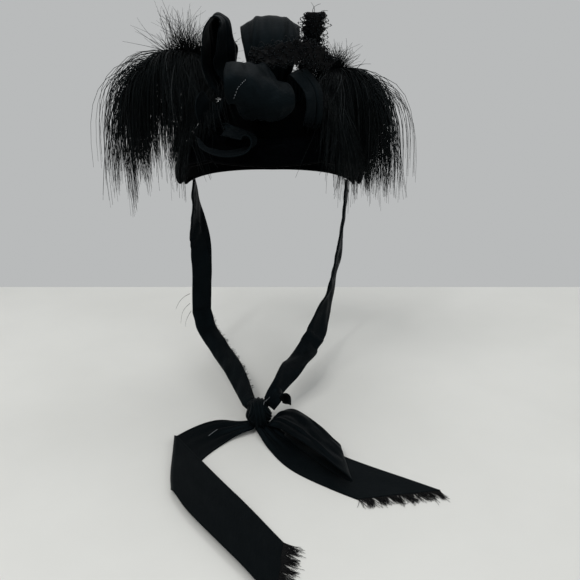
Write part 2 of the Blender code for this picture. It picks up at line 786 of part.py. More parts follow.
def make_plume(name, side, turn, drop, share, finish):
    """One plume: a quill that curls over, with locks fused to it that fan out and hang."""
    reach = PLUME_REACH * share
    foot = crown_point(side * turn, drop * CROWN_DEPTH, CROWN_WALL + SEAM_GAP + QUILL_WIDTH / 8)
    rows = [foot + reach * np.array([side * out, -forward, up]) for out, forward, up in QUILL]
    quill = ease(rows, QUILL_SECTIONS)
    across = np.tile([0.0, 1.0, 0.0], (QUILL_SECTIONS, 1))
    slim = np.linspace(1, QUILL_TIP, QUILL_SECTIONS) * QUILL_WIDTH
    points, faces = solid_rings(taper(quill, slim, slim * QUILL_FLATNESS, across))
    body = add_object(name, points, faces, finish)
    locks = []
    for place, swing, length in LOCK_ROWS:
        for way in (1, -1):
            along = round((place - (1 - way) * LOCK_STAGGER) * QUILL_POINTS)
            start = ease(rows, QUILL_POINTS + 1)[along]
            path = lock_path(start, side, way * swing, length * LOCK_LENGTH, LOCK_SECTIONS)
            grow = np.linspace(0, 1, LOCK_SECTIONS)
            swell = LOCK_BELLY * grow * (1 - grow) + LOCK_TIP * grow * (1 - grow ** 3)
            wide = LOCK_WIDTH * (LOCK_ROOT + swell)
            turned = math.radians(way * swing)
            flat = np.tile([side * math.sin(turned), math.cos(turned), 0.0], (LOCK_SECTIONS, 1))
            points, faces = solid_rings(taper(path, wide, wide * LOCK_FLATNESS, flat))
            locks.append(add_object(f"{name}_lock", points, faces, finish))
    return fuse(body, locks)


# The whole bonnet

def main():
    """Builds every piece of the bonnet."""
    for old in list(bpy.data.objects):
        bpy.data.objects.remove(old)
    velvet = material("velvet", (0.010, 0.010, 0.013), 0.9)
    silk = material("ribbed silk", (0.016, 0.018, 0.023), 0.45)
    crape = material("crown cloth", (0.012, 0.012, 0.014), 0.85)
    feather = material("ostrich", (0.014, 0.014, 0.015), 0.7)
    beads = material("jet beads", (0.012, 0.012, 0.014), 0.2)
    make_crown(crape)
    make_front_band(velvet)
    make_bow(silk)
    make_beads(beads)
    make_ties(silk)
    make_knot(silk)
    make_knot_ear(silk)
    make_tails(silk)
    make_half_loop(silk)
    make_fringes(silk)
    for name, side, turn, drop, share in PLUMES:
        make_plume(name, side, turn, drop, share, feather)


main()
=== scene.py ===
"""Looks of a mourning bonnet: ribbed silk ribbon, rolled velvet, beaded lace and ostrich plumes.

Sizes are millimetres in the frame of the solids, and become metres as each mesh is made. The
tables of the ribbons' paths are the same as those of the solids, read at a finer step.
"""

import math

import bpy
import numpy as np
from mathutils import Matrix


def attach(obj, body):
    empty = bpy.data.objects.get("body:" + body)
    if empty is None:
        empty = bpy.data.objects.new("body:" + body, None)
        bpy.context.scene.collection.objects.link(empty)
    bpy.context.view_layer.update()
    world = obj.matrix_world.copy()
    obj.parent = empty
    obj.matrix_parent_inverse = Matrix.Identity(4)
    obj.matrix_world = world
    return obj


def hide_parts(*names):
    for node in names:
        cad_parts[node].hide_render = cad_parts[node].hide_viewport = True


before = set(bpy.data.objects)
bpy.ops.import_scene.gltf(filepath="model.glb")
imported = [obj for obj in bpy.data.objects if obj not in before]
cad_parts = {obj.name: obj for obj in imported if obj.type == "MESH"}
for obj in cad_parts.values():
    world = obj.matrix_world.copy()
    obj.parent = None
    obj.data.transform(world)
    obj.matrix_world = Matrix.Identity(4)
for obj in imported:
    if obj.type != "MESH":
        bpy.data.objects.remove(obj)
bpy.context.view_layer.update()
SCENE = bpy.context.scene
MM = 0.001

# Driving sizes, as in the solids
HEAD_WIDTH = 162.0
HEAD_LENGTH = 190.0
CROWN_DEPTH = 88.0
CROWN_WALL = 2.5
BAND_HEIGHT = 19.0
BAND_THICKNESS = 8.0
RIBBON_WIDTH = 43.0
REST_DROP = 293.0
KNOT_FORWARD = 121.0
KNOT_SIDE = -9.0
KNOT_WIDTH = 25.0
KNOT_HEIGHT = 26.0
KNOT_SEAT_RISE = -40.0
KNOT_GROOVE = 0.08
SEAM_GAP = 0.4
LEFT_REACH = 78.0
RIGHT_REACH = 150.0
PLUME_REACH = 68.0
LOCK_LENGTH = 93.0
QUILL_WIDTH = 8.0
RIM = ((0, 0.70), (38, 0.685), (62, 0.78), (88, 1.04), (130, 1.04), (180, 1.06))

# Thickness of the silk, the step of its mesh and the cells across it
SILK = 0.7
SOLID_CLOTH = 1.6
STEP = 1.5
CELLS_ACROSS = 30


def unit(vector):
    """Gives a vector, or each vector of an array, the length one."""
    vector = np.asarray(vector, float)
    return vector / np.linalg.norm(vector, axis=-1, keepdims=True)


def smoothstep(low, high, value):
    """Rises from 0 at low to 1 at high."""
    t = np.clip((value - low) / (high - low), 0, 1)
    return t * t * (3 - 2 * t)


def ease(rows, count):
    """Reads count rows off a smooth curve through all the given rows."""
    rows = np.asarray(rows, float)
    ends = np.vstack([2 * rows[0] - rows[1], rows, 2 * rows[-1] - rows[-2]])
    out = []
    for place in np.linspace(0, len(rows) - 1, count):
        index = min(int(place), len(rows) - 2)
        t = place - index
        a, b, c, d = ends[index:index + 4]
        out.append(0.5 * (2 * b + (c - a) * t + (2 * a - 5 * b + 4 * c - d) * t ** 2
                          + (3 * b - a - 3 * c + d) * t ** 3))
    return np.array(out)


def arc_lengths(points):
    """How far each point of a path lies along it."""
    return np.concatenate([[0], np.cumsum(np.linalg.norm(np.diff(points, axis=0), axis=1))])


def path_length(rows):
    """The length of a path whose rows start with a point."""
    return np.linalg.norm(np.diff(np.array(rows)[:, :3], axis=0), axis=1).sum()


# Materials


def add_node(tree, kind, links=None, **settings):
    """Adds a shader node, with its inputs set or linked."""
    made = tree.nodes.new(kind)
    for key, value in settings.items():
        setattr(made, key, value)
    for socket, source in (links or {}).items():
        if isinstance(source, bpy.types.NodeSocket):
            tree.links.new(source, made.inputs[socket])
        else:
            made.inputs[socket].default_value = source
    return made


def principled(name, **values):
    """A Principled material, with its tree."""
    made = bpy.data.materials.new(name)
    made.use_nodes = True
    shader = made.node_tree.nodes["Principled BSDF"]
    for socket, value in values.items():
        shader.inputs[socket.replace("_", " ")].default_value = value
    return made, made.node_tree


def plug(made, colour, roughness, normal=None):
    """Links a material's colour, roughness and bump, and gives the material back."""
    shader = made.node_tree.nodes["Principled BSDF"]
    for socket, source in (("Base Color", colour), ("Roughness", roughness), ("Normal", normal)):
        if source is not None:
            made.node_tree.links.new(source, shader.inputs[socket])
    return made


def object_place(tree):
    """The place on the object."""
    return add_node(tree, "ShaderNodeTexCoord").outputs["Object"]


def scaled(tree, vector, scale):
    """A vector stretched along each axis."""
    return add_node(tree, "ShaderNodeMapping", {"Vector": vector, "Scale": scale}).outputs[0]


def noise(tree, vector, scale, detail=3.0, rough=0.55, distortion=0.0):
    """A noise value from 0 to 1."""
    made = add_node(tree, "ShaderNodeTexNoise", {
        "Vector": vector, "Scale": scale, "Detail": detail, "Roughness": rough,
        "Distortion": distortion})
    return made.outputs["Fac"]


def ramp(tree, value, stops):
    """A colour or grey for a value, from stops of place and colour."""
    made = add_node(tree, "ShaderNodeValToRGB", {"Fac": value})
    band = made.color_ramp
    while len(band.elements) < len(stops):
        band.elements.new(0.5)
    for element, (place, colour) in zip(band.elements, stops):
        element.position = place
        element.color = (*colour, 1.0) if len(colour) == 3 else colour
    return made.outputs["Color"]


def span(tree, value, low, high):
    """Maps a value from 0 to 1 onto low to high."""
    made = add_node(tree, "ShaderNodeMapRange", {
        "Value": value, "To Min": low, "To Max": high})
    return made.outputs["Result"]


def combine(tree, operation, first, second):
    """Two values joined by a sum or product."""
    return add_node(tree, "ShaderNodeMath", {0: first, 1: second}, operation=operation).outputs[0]


def mix(tree, *parts):
    """The sum of values, each times its share."""
    total = None
    for value, share in parts:
        part = combine(tree, "MULTIPLY", value, share)
        total = part if total is None else combine(tree, "ADD", total, part)
    return total


def bump(tree, height, strength, distance, under=None):
    """A bump normal from a height."""
    links = {"Height": height, "Strength": strength, "Distance": distance}
    if under is not None:
        links["Normal"] = under
    return add_node(tree, "ShaderNodeBump", links).outputs["Normal"]


def silk_material():
    """Corded silk: fine ribs from selvedge to selvedge, with slubs, broad patches of painted light and
    shade, and a soft sheen.
    """
    made, tree = principled("ribbed_silk", Metallic=0.0, Sheen_Weight=0.02,
                                    Sheen_Roughness=0.35, Sheen_Tint=(0.45, 0.60, 0.72, 1.0),
                                    Specular_IOR_Level=0.06,
                                    Specular_Tint=(0.50, 0.80, 1.0, 1.0))
    cloth = add_node(tree, "ShaderNodeAttribute", attribute_name="cloth").outputs["Vector"]
    ribs = add_node(tree, "ShaderNodeTexWave", {
        "Vector": cloth, "Scale": 0.36, "Distortion": 0.6, "Detail": 2.0, "Detail Scale": 0.7},
        wave_type="BANDS", bands_direction="Y").outputs["Fac"]
    slubs = noise(tree, scaled(tree, cloth, (0.07, 1.1, 1.0)), 1.0, 4.0, 0.6)
    # broad lighter and darker patches in the colour: painted light and shade standing in for the lit
    # and shaded parts of the ribbon
    painted_light_patches = noise(tree, cloth, 0.06, 4.0, 0.6)
    weave = noise(tree, cloth, 2.2, 2.0, 0.5)
    tone = mix(tree, (slubs, 0.6), (painted_light_patches, 0.4))
    # the colour ramp carries the slubs and the painted light and shade of the broad patches
    colour = ramp(tree, tone, ((0.30, (0.0007, 0.0010, 0.0011)),
                               (0.52, (0.0014, 0.0020, 0.0023)),
                               (0.72, (0.0029, 0.0038, 0.0042))))
    height = mix(tree, (ribs, 0.6), (slubs, 0.9), (weave, 0.25))
    return plug(made, colour, span(tree, tone, 0.60, 0.40), bump(tree, height, 0.55, 0.00035))


def velvet_material():
    """Silk velvet: a dense dark pile with crushed places and a faint rim of light."""
    made, tree = principled("velvet", Metallic=0.0, Sheen_Weight=0.012,
                                    Sheen_Roughness=0.30, Sheen_Tint=(0.45, 0.55, 0.70, 1.0),
                                    Specular_IOR_Level=0.01)
    place = object_place(tree)
    pile = noise(tree, place, 1500.0, 2.0, 0.6)
    crush = noise(tree, scaled(tree, place, (1.0, 1.0, 1.8)), 70.0, 4.0, 0.62, 0.8)
    colour = ramp(tree, crush, ((0.32, (0.0002, 0.0003, 0.0004)),
                                (0.58, (0.0005, 0.0007, 0.0010)),
                                (0.78, (0.0018, 0.0022, 0.0030))))
    under = bump(tree, crush, 0.5, 0.0012)
    return plug(made, colour, span(tree, crush, 0.95, 0.72), bump(tree, pile, 0.7, 0.0003, under))


def crown_material():
    """Dull cloth with a crinkled grain, stretched over the frame."""
    made, tree = principled("crown_cloth", Metallic=0.0, Sheen_Weight=0.004,
                                    Sheen_Roughness=0.5, Specular_IOR_Level=0.01)
    place = object_place(tree)
    grain = noise(tree, place, 900.0, 3.0, 0.6)
    crinkle = noise(tree, scaled(tree, place, (1.0, 1.0, 0.55)), 230.0, 3.0, 0.6, 1.6)
    broad = noise(tree, place, 45.0, 4.0, 0.6)
    colour = ramp(tree, broad, ((0.30, (0.0002, 0.0003, 0.0004)),
                                (0.60, (0.0006, 0.0008, 0.0010)),
                                (0.80, (0.0016, 0.0020, 0.0023))))
    under = bump(tree, crinkle, 0.5, 0.0007)
    return plug(made, colour, span(tree, broad, 0.92, 0.74), bump(tree, grain, 0.6, 0.0003, under))


def feather_material():
    """Ostrich barbs: soft black to brown black, each barb its own tone, with a painted highlight band
    along each barb and a few pale barbs as painted highlights.
    """
    made, tree = principled("ostrich", Metallic=0.0, Sheen_Weight=0.01,
                                    Sheen_Roughness=0.4, Specular_IOR_Level=0.10,
                                    Specular_Tint=(0.70, 0.92, 1.0, 1.0))
    tone = add_node(tree, "ShaderNodeAttribute", attribute_name="tone").outputs["Fac"]
    place = object_place(tree)
    streak = noise(tree, place, 700.0, 2.0, 0.6)
    mixed = mix(tree, (tone, 0.8), (streak, 0.2))
    # the brightest stop is the painted highlight colour of the pale barbs and of the bright band along
    # each barb
    colour = ramp(tree, mixed, ((0.10, (0.0002, 0.0003, 0.0003)),
                                (0.55, (0.0008, 0.0011, 0.0012)),
                                (0.78, (0.0036, 0.0045, 0.0048)),
                                (0.96, (0.0380, 0.0420, 0.0440))))
    return plug(made, colour, span(tree, streak, 0.34, 0.55), bump(tree, streak, 0.4, 0.0002))


def bead_material():
    """Jet beads: polished black glass with small flats and dust in the hollows."""
    made, tree = principled("jet_beads", Metallic=0.0, Specular_IOR_Level=0.13,
                                    Specular_Tint=(0.75, 0.90, 1.0, 1.0),
                                    Coat_Weight=0.05, Coat_Roughness=0.04)
    place = object_place(tree)
    dust = noise(tree, place, 400.0, 3.0, 0.6)
    colour = ramp(tree, dust, ((0.35, (0.0004, 0.0005, 0.0007)),
                               (0.75, (0.0022, 0.0025, 0.0030))))
    return plug(made, colour, span(tree, dust, 0.04, 0.20), bump(tree, dust, 0.25, 0.0003))


def thread_material(name, dark, light, roughness):
    """Spun thread with a twist and uneven tone."""
    made, tree = principled(name, Metallic=0.0, Sheen_Weight=0.02,
                                    Specular_IOR_Level=0.08)
    place = object_place(tree)
    twist = noise(tree, place, 1200.0, 2.0, 0.6)
    colour = ramp(tree, twist, ((0.3, dark), (0.7, light)))
    return plug(made, colour, span(tree, twist, roughness, roughness - 0.2),
                bump(tree, twist, 0.5, 0.0002))


def floor_material():
    """A pale, matt table top with a faint mottle."""
    made, tree = principled("table_top", Specular_IOR_Level=0.25)
    place = object_place(tree)
    mottle = noise(tree, place, 6.0, 4.0, 0.6)
    colour = ramp(tree, mottle, ((0.3, (0.66, 0.66, 0.635)), (0.7, (0.70, 0.70, 0.675))))
    return plug(made, colour, span(tree, mottle, 0.45, 0.55))


SILK_FINISH = silk_material()
VELVET_FINISH = velvet_material()
CROWN_FINISH = crown_material()
FEATHER_FINISH = feather_material()
BEAD_FINISH = bead_material()
BLACK_THREAD = thread_material("black_thread", (0.0010, 0.0011, 0.0013), (0.0042, 0.0044, 0.0050), 0.7)
PALE_THREAD = thread_material("pale_thread", (0.10, 0.11, 0.12), (0.36, 0.38, 0.40), 0.6)


# Meshes


def make_piece(name, points, groups, finish, replaces=(), cloth=None, tone=None):
    """Makes one piece from points in millimetres and groups of faces, and lets it ride."""
    mesh = bpy.data.meshes.new(name)
    sizes = np.concatenate([np.full(len(group), group.shape[1]) for group in groups])
    corners = np.concatenate([group.ravel() for group in groups]).astype(np.int32)
    mesh.vertices.add(len(points))
    mesh.vertices.foreach_set("co", (points * MM).astype(np.float32).ravel())
    mesh.loops.add(len(corners))
    mesh.loops.foreach_set("vertex_index", corners)
    mesh.polygons.add(len(sizes))
    starts = np.concatenate([[0], np.cumsum(sizes)[:-1]]).astype(np.int32)
    mesh.polygons.foreach_set("loop_start", starts)
    mesh.update(calc_edges=True)
    mesh.polygons.foreach_set("use_smooth", np.ones(len(sizes), bool))
    if cloth is not None:
        field = mesh.attributes.new("cloth", "FLOAT_VECTOR", "POINT")
        field.data.foreach_set("vector", cloth.astype(np.float32).ravel())
    if tone is not None:
        field = mesh.attributes.new("tone", "FLOAT", "POINT")
        field.data.foreach_set("value", tone.astype(np.float32))
    mesh.update()
    mesh.materials.append(finish)
    made = bpy.data.objects.new(name, mesh)
    SCENE.collection.objects.link(made)
    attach(made, "root")
    if replaces:
        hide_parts(*replaces)
    return made


def grid_normals(grid):
    """Gives the unit normal at each point of a grid of points."""
    normal = np.cross(np.gradient(grid, axis=0), np.gradient(grid, axis=1))
    return normal / np.maximum(np.linalg.norm(normal, axis=-1, keepdims=True), 1e-9)


def grid_measures(grid):
    """Distances along and across a grid, from its first row and its middle, per point."""
    along = np.linalg.norm(np.diff(grid, axis=0), axis=-1)
    across = np.linalg.norm(np.diff(grid, axis=1), axis=-1)
    run = np.concatenate([np.zeros((1, grid.shape[1])), np.cumsum(along, axis=0)])
    side = np.concatenate([np.zeros((grid.shape[0], 1)), np.cumsum(across, axis=1)], axis=1)
    return run.mean(1, keepdims=True) + 0 * run, side - side[:, -1:] / 2


def sheet_faces(rows, columns, offset=0):
    """The faces of a closed sheet: its upper points come first, and then its lower ones."""
    count = rows * columns
    index = offset + np.arange(count).reshape(rows, columns)
    under = index + count
    a, b, c, d = index[:-1, :-1], index[:-1, 1:], index[1:, 1:], index[1:, :-1]
    e, f, g, h = under[:-1, :-1], under[:-1, 1:], under[1:, 1:], under[1:, :-1]
    faces = [np.stack([a, d, c, b], -1), np.stack([e, f, g, h], -1),
             np.stack([d[:, :1], a[:, :1], e[:, :1], h[:, :1]], -1),
             np.stack([b[:, -1:], c[:, -1:], g[:, -1:], f[:, -1:]], -1),
             np.stack([a[:1], b[:1], f[:1], e[:1]], -1),
             np.stack([c[-1:], d[-1:], h[-1:], g[-1:]], -1)]
    return np.concatenate([face.reshape(-1, 4) for face in faces])


def cloth_piece(name, grid, replaces=(), finish=None, thickness=SILK,
                measures=None):
    """A closed sheet of cloth with a slightly thicker woven edge."""
    run, side = measures if measures is not None else grid_measures(grid)
    half = np.abs(side).max(1, keepdims=True)
    edge = 1 + 0.5 * np.exp(-((half - np.abs(side)) / 0.9) ** 2)
    lift = grid_normals(grid) * (thickness / 2 * edge)[..., None]
    points = np.concatenate([(grid + lift).reshape(-1, 3), (grid - lift).reshape(-1, 3)])
    field = np.stack([side, run, 0 * run], -1).reshape(-1, 3)
    return make_piece(name, points, [sheet_faces(*grid.shape[:2])], finish or SILK_FINISH,
                      replaces, cloth=np.concatenate([field, field]))


def waves(side, run, seed, scale, lean=0.3, count=6):
    """Soft folds that run mostly along the cloth, from about -1 to 1."""
    draw = np.random.default_rng(seed)
    total = 0
    for _ in range(count):
        angle = draw.normal(0, lean)
        step = 2 * math.pi / (scale * draw.uniform(0.6, 1.7))
        phase = draw.uniform(0, 2 * math.pi)
        total = total + draw.uniform(0.5, 1.0) * np.sin(
            step * (side * math.cos(angle) + run * math.sin(angle)) + phase)
    return total / (0.5 * count)


def tubes(paths, radii, sides=3, seed=0):
    """Points and faces of many tapered tubes: paths is (tubes, points, 3)."""
    count, steps = paths.shape[:2]
    draw = np.random.default_rng(seed)
    along = unit(np.gradient(paths, axis=1))
    guide = unit(draw.normal(size=(count, 1, 3)))
    first = unit(np.cross(along, guide))
    second = np.cross(along, first)
    angles = 2 * math.pi * np.arange(sides) / sides
    ring = (first[:, :, None] * np.cos(angles)[:, None]
            + second[:, :, None] * np.sin(angles)[:, None])
    points = (paths[:, :, None] + ring * np.asarray(radii)[..., None, None]).reshape(-1, 3)
    index = np.arange(count * steps * sides).reshape(count, steps, sides)
    here, there = index[:, :-1], index[:, 1:]
    quads = np.stack([here, np.roll(here, -1, 2), np.roll(there, -1, 2), there], -1)
    return points, [quads.reshape(-1, 4), index[:, 0, ::-1], index[:, -1]]


def ball_points():
    """The points and faces of a small round bead of radius one."""
    gold = (1 + math.sqrt(5)) / 2
    base = []
    for a in (-1, 1):
        for b in (-gold, gold):
            base += [(0, a, b), (a, b, 0), (b, 0, a)]
    points = [tuple(unit(point)) for point in base]
    near = [(i, j, k) for i in range(12) for j in range(i + 1, 12) for k in range(j + 1, 12)
            if max(math.dist(points[i], points[j]), math.dist(points[j], points[k]),
                   math.dist(points[i], points[k])) < 1.2]
    faces, middles = [], {}

    def middle(i, j):
        key = (min(i, j), max(i, j))
        if key not in middles:
            middles[key] = len(points)
            points.append(tuple(unit(np.array(points[i]) + points[j])))
        return middles[key]

    for i, j, k in near:
        normal = np.cross(np.subtract(points[j], points[i]), np.subtract(points[k], points[i]))
        if normal @ np.array(points[i]) < 0:
            j, k = k, j
        a, b, c = middle(i, j), middle(j, k), middle(k, i)
        faces += [(i, a, c), (a, j, b), (c, b, k), (a, b, c)]
    return np.array(points), np.array(faces)


BALL, BALL_FACES = ball_points()


def beads(places, sizes):
    """Points and faces of many beads."""
    places, sizes = np.asarray(places), np.asarray(sizes)
    points = (places[:, None] + BALL[None] * sizes[:, None, None]).reshape(-1, 3)
    faces = (BALL_FACES[None] + (np.arange(len(places)) * len(BALL))[:, None, None])
    return points, faces.reshape(-1, 3)


# The crown's surface, which everything sewn to the bonnet follows


def rim_drop(turn):
    """How far the rim lies below the top at a turn from the front."""
    turns, shares = np.array(RIM).T
    return np.interp(np.abs(turn), turns, shares) * CROWN_DEPTH


def crown_point(turn, drop, lift=0.0):
    """Points above the crown's inner face: turned from the front, below the top, lifted out."""
    turn, drop, lift = np.broadcast_arrays(np.radians(turn), drop, lift)
    high = np.maximum(1 - drop / CROWN_DEPTH, 0.0)
    wide = np.sqrt(1 - high ** 2)
    side, front = np.sin(turn), -np.cos(turn)
    half_width, half_length = HEAD_WIDTH / 2, HEAD_LENGTH / 2
    point = np.stack([half_width * wide * side, half_length * wide * front, -drop], -1)
    outward = unit(np.stack([wide * side / half_width, wide * front / half_length,
                             high / CROWN_DEPTH], -1))
    return point + outward * lift[..., None]


def seat(turn, drop, lift):
    """A place on the bonnet: drop in shares of CROWN_DEPTH, lift in shares of RIBBON_WIDTH."""
    return crown_point(turn, drop * CROWN_DEPTH, CROWN_WALL + SEAM_GAP + lift * RIBBON_WIDTH)


def turns_round(count):
    """Turns from the front all the way round, from -180 to 180 degrees."""
    turn = 360 * np.arange(count) / count
    return np.where(turn > 180, turn - 360, turn)


def closed_skin(rings):
    """Faces of a skin over rings that join into one ring themselves."""
    count, around = rings.shape[:2]
    index = np.arange(count * around).reshape(count, around)
    there = np.roll(index, -1, 0)
    return np.stack([index, there, np.roll(there, -1, 1), np.roll(index, -1, 1)], -1).reshape(-1, 4)


def wrapped_faces(index):
    """Faces between rows of points that each close into a ring."""
    there = np.roll(index, -1, 1)
    return np.stack([index[:-1], there[:-1], there[1:], index[1:]], -1).reshape(-1, 4)


def make_crown():
    """The crown: cloth over a hollow dome, with soft pulls towards the bow's stitches."""
    around, rings = 180, 48
    turn = turns_round(around)[None, :]
    rise = 1 - np.sin(math.pi / 2 * np.arange(rings) / (rings - 0.5))[:, None]
    drop = rim_drop(turn) * rise
    pulls = waves(turn * 1.3, drop, 11, 26, 0.2) * smoothstep(0.02, 0.5, rise)
    pulls = pulls * smoothstep(1.0, 0.80, rise)
    outer = crown_point(turn, drop, CROWN_WALL + 0.55 * pulls)
    inner = crown_point(turn, drop, 0.25)
    index = np.arange(around * rings).reshape(rings, around)
    quads = []
    for base, flip in ((0, False), (around * rings, True)):
        face = wrapped_faces(index + base)
        quads.append(face[:, ::-1] if flip else face)
    a, b = index[0], np.roll(index[0], -1)
    quads.append(np.stack([b, a, a + around * rings, b + around * rings], -1))
    top_out, top_in = 2 * around * rings, 2 * around * rings + 1
    a, b = index[-1], np.roll(index[-1], -1)
    tips = np.concatenate([np.stack([a, b, 0 * a + top_out], -1),
                           np.stack([b + around * rings, a + around * rings,
                                     0 * a + top_in], -1)])
    points = np.concatenate([outer.reshape(-1, 3), inner.reshape(-1, 3),
                             crown_point(0, 0, CROWN_WALL)[None], crown_point(0, 0, 0.25)[None]])
    return make_piece("crown_dome", points, [np.concatenate(quads), tips], CROWN_FINISH,
                      ["crown"])


def make_band():
    """The rolled velvet band: lengthwise tucks and an uneven roll."""
    around, sides = 480, 44
    turn = turns_round(around)[:, None]
    angle = 2 * math.pi * np.arange(sides)[None, :] / sides
    swell = (1 - np.cos(angle)) / 2
    run = np.radians(turn) * HEAD_WIDTH / 2
    height = -np.sin(angle)
    middle = rim_drop(turn) - BAND_HEIGHT / 2
    drop = middle + height * BAND_HEIGHT / 2
    sway = 0.10 * np.sin(run / 17) + 0.06 * np.sin(run / 7.3 + 1)
    tuck = np.exp(-((height - 0.34 - sway) / 0.10) ** 2) * 1.5
    tuck = tuck + np.exp(-((height + 0.46 + 0.7 * sway) / 0.08) ** 2) * 1.7
    uneven = 0.45 * waves(height * 9, run, 5, 19, 1.2) + 0.25 * waves(height * 9, run, 6, 8, 1.3)
    lift = CROWN_WALL + SEAM_GAP + swell * BAND_THICKNESS - swell * tuck + swell * uneven
    rings = crown_point(turn, drop, np.maximum(lift, CROWN_WALL + SEAM_GAP))
    return make_piece("velvet_band", rings.reshape(-1, 3), [closed_skin(rings)], VELVET_FINISH,
                      ["front_band"])


# The bow's loops: each row is a section across the ribbon. Turn is degrees from the front,
# drop is a share of CROWN_DEPTH, lift and width are shares of RIBBON_WIDTH, yaw and pitch are
# the degrees that the ribbon's width points forward and up, and cup bends it across.
BOW_LOOPS = {
    "bow_centre_loop": (
        # turn, drop, lift, width, yaw, pitch, cup
        (6, 0.085, 0.01, 0.45, 0, 0, 0.00),
        (4, 0.115, 0.55, 0.85, 0, 0, 0.04),
        (4, 0.100, 1.10, 1.10, 0, 0, 0.09),
        (4, 0.045, 1.40, 1.17, 0, 0, 0.17),
        (10, 0.010, 1.24, 1.10, 0, 0, 0.16),
        (20, 0.008, 0.62, 0.85, 0, 0, 0.07),
        (40, 0.012, 0.03, 0.42, 0, 0, 0.00),
    ),
    "bow_left_loop": (
        (-38, 0.180, 0.03, 0.30, -60, 34, 0.00),
        (-48, 0.160, 0.60, 0.58, -63, -6, 0.03),
        (-43, 0.128, 1.20, 0.76, -76, -3, 0.05),
        (-39, 0.122, 1.52, 0.80, -88, 14, 0.06),
        (-34, 0.108, 1.66, 0.80, -86, 16, 0.06),
        (-29, 0.103, 1.52, 0.80, -72, 0, 0.05),
        (-31, 0.115, 1.10, 0.72, -60, -10, 0.04),
        (-38, 0.120, 0.60, 0.56, -40, -4, 0.02),
        (-28, 0.155, 0.03, 0.30, -60, 36, 0.00),
    ),
    "bow_front_puff": (
        (-10, 0.160, 0.00, 0.44, 0, 0, 0.00),
        (-11, 0.180, 0.60, 0.70, -1, -5, -0.02),
        (-9, 0.220, 1.12, 0.78, 0, -6, -0.08),
        (-3.5, 0.330, 1.26, 1.12, -10, -20, -0.14),
        (-1, 0.430, 0.98, 1.18, 3, -8, -0.14),
        (-2.5, 0.410, 0.45, 0.74, 1, -4, -0.06),
        (-5, 0.300, 0.02, 0.38, 0, 0, 0.00),
    ),
    "bow_right_fold": (
        (33, 0.170, 0.03, 0.26, -30, -4, 0.00),
        (28, 0.150, 0.46, 0.38, -32, -4, -0.03),
        (21, 0.196, 0.84, 0.38, -36, 17, -0.05),
        (24.5, 0.298, 0.88, 0.38, -36, 17, -0.06),
        (25, 0.374, 0.80, 0.38, -36, 1, -0.06),
        (27, 0.425, 0.42, 0.34, -34, -14, -0.04),
        (33, 0.385, 0.035, 0.25, -30, -14, 0.00),
    ),
    "bow_left_fold": (
        (-42, 0.280, 0.00, 0.28, -30, -16, 0.00),
        (-41, 0.280, 0.34, 0.52, -32, -18, 0.05),
        (-40, 0.335, 0.44, 0.56, -32, -18, 0.07),
        (-39, 0.385, 0.32, 0.42, -28, -14, 0.05),
        (-39, 0.375, 0.00, 0.28, -24, -10, 0.00),
    ),
    "bow_lower_loop": (
        (-26, 0.415, 0.01, 0.12, 60, 0, 0.00),
        (-24, 0.460, 0.30, 0.28, 84, -14, 0.03),
        (-15, 0.500, 0.46, 0.36, 90, -18, 0.05),
        (-7, 0.545, 0.52, 0.42, 90, -16, 0.05),
        (-8, 0.625, 0.54, 0.44, 90, -10, 0.05),
        (-18, 0.655, 0.52, 0.40, 88, -6, 0.04),
        (-29, 0.620, 0.47, 0.34, 84, -4, 0.03),
        (-37, 0.560, 0.40, 0.24, 76, -2, 0.00),
    ),
}

# What the cloth of each loop does: pleats where it is pinched, their depth, the depth of its
# soft folds, and creases as place across, depth and width, all in millimetres but the place
LOOP_FOLDS = {
    # name: (pleats, pleat depth, folds, ((place, depth, width), ...))
    "bow_centre_loop": (5, 1.6, 0.5, ((-0.52, -1.5, 2.2), (0.46, -1.5, 2.4))),
    "bow_left_loop": (4, 1.0, 0.3, ((1.00, -7.5, 5.5), (0.10, -1.2, 1.6))),
    "bow_front_puff": (4, 0.9, 0.5, ((-0.20, -1.3, 3.4), (0.62, 1.6, 2.6))),
    "bow_right_fold": (4, 1.4, 0.6, ((0.25, -1.8, 2.0),)),
    "bow_left_fold": (3, 1.0, 0.4, ()),
    "bow_lower_loop": (3, 0.8, 0.3, ()),
}


def ribbon_grid(sections, rows, square=True):
    """Gives the grid of a ribbon: rows are centres, widths, yaws, pitches and cups."""
    centres = rows[:, :3]
    widths, yaws, pitches, cups = rows[:, 3:].T
    along = unit(np.gradient(centres, axis=0))
    yaws, pitches = np.radians(yaws), np.radians(pitches)
    across = np.stack([np.cos(yaws) * np.cos(pitches), -np.sin(yaws) * np.cos(pitches),
                       np.sin(pitches)], axis=1)
    if square:
        across = unit(across - (across * along).sum(1, keepdims=True) * along)
    bend = unit(np.cross(across, along))
    spread = np.linspace(-1, 1, sections)
    half = widths[:, None, None] / 2
    swell = cups[:, None, None] * 2 * half
    return (centres[:, None] + across[:, None] * spread[None, :, None] * half
            - bend[:, None] * swell * (spread ** 2)[None, :, None])


def bow_grid(rows, sections=CELLS_ACROSS + 1, step=STEP):
    """Gives the fine grid of one loop of the bow from its table."""
    key = [[*seat(turn, drop, lift), width * RIBBON_WIDTH, yaw, pitch, cup]
           for turn, drop, lift, width, yaw, pitch, cup in rows]
    return ribbon_grid(sections, ease(key, round(path_length(key) / step)))


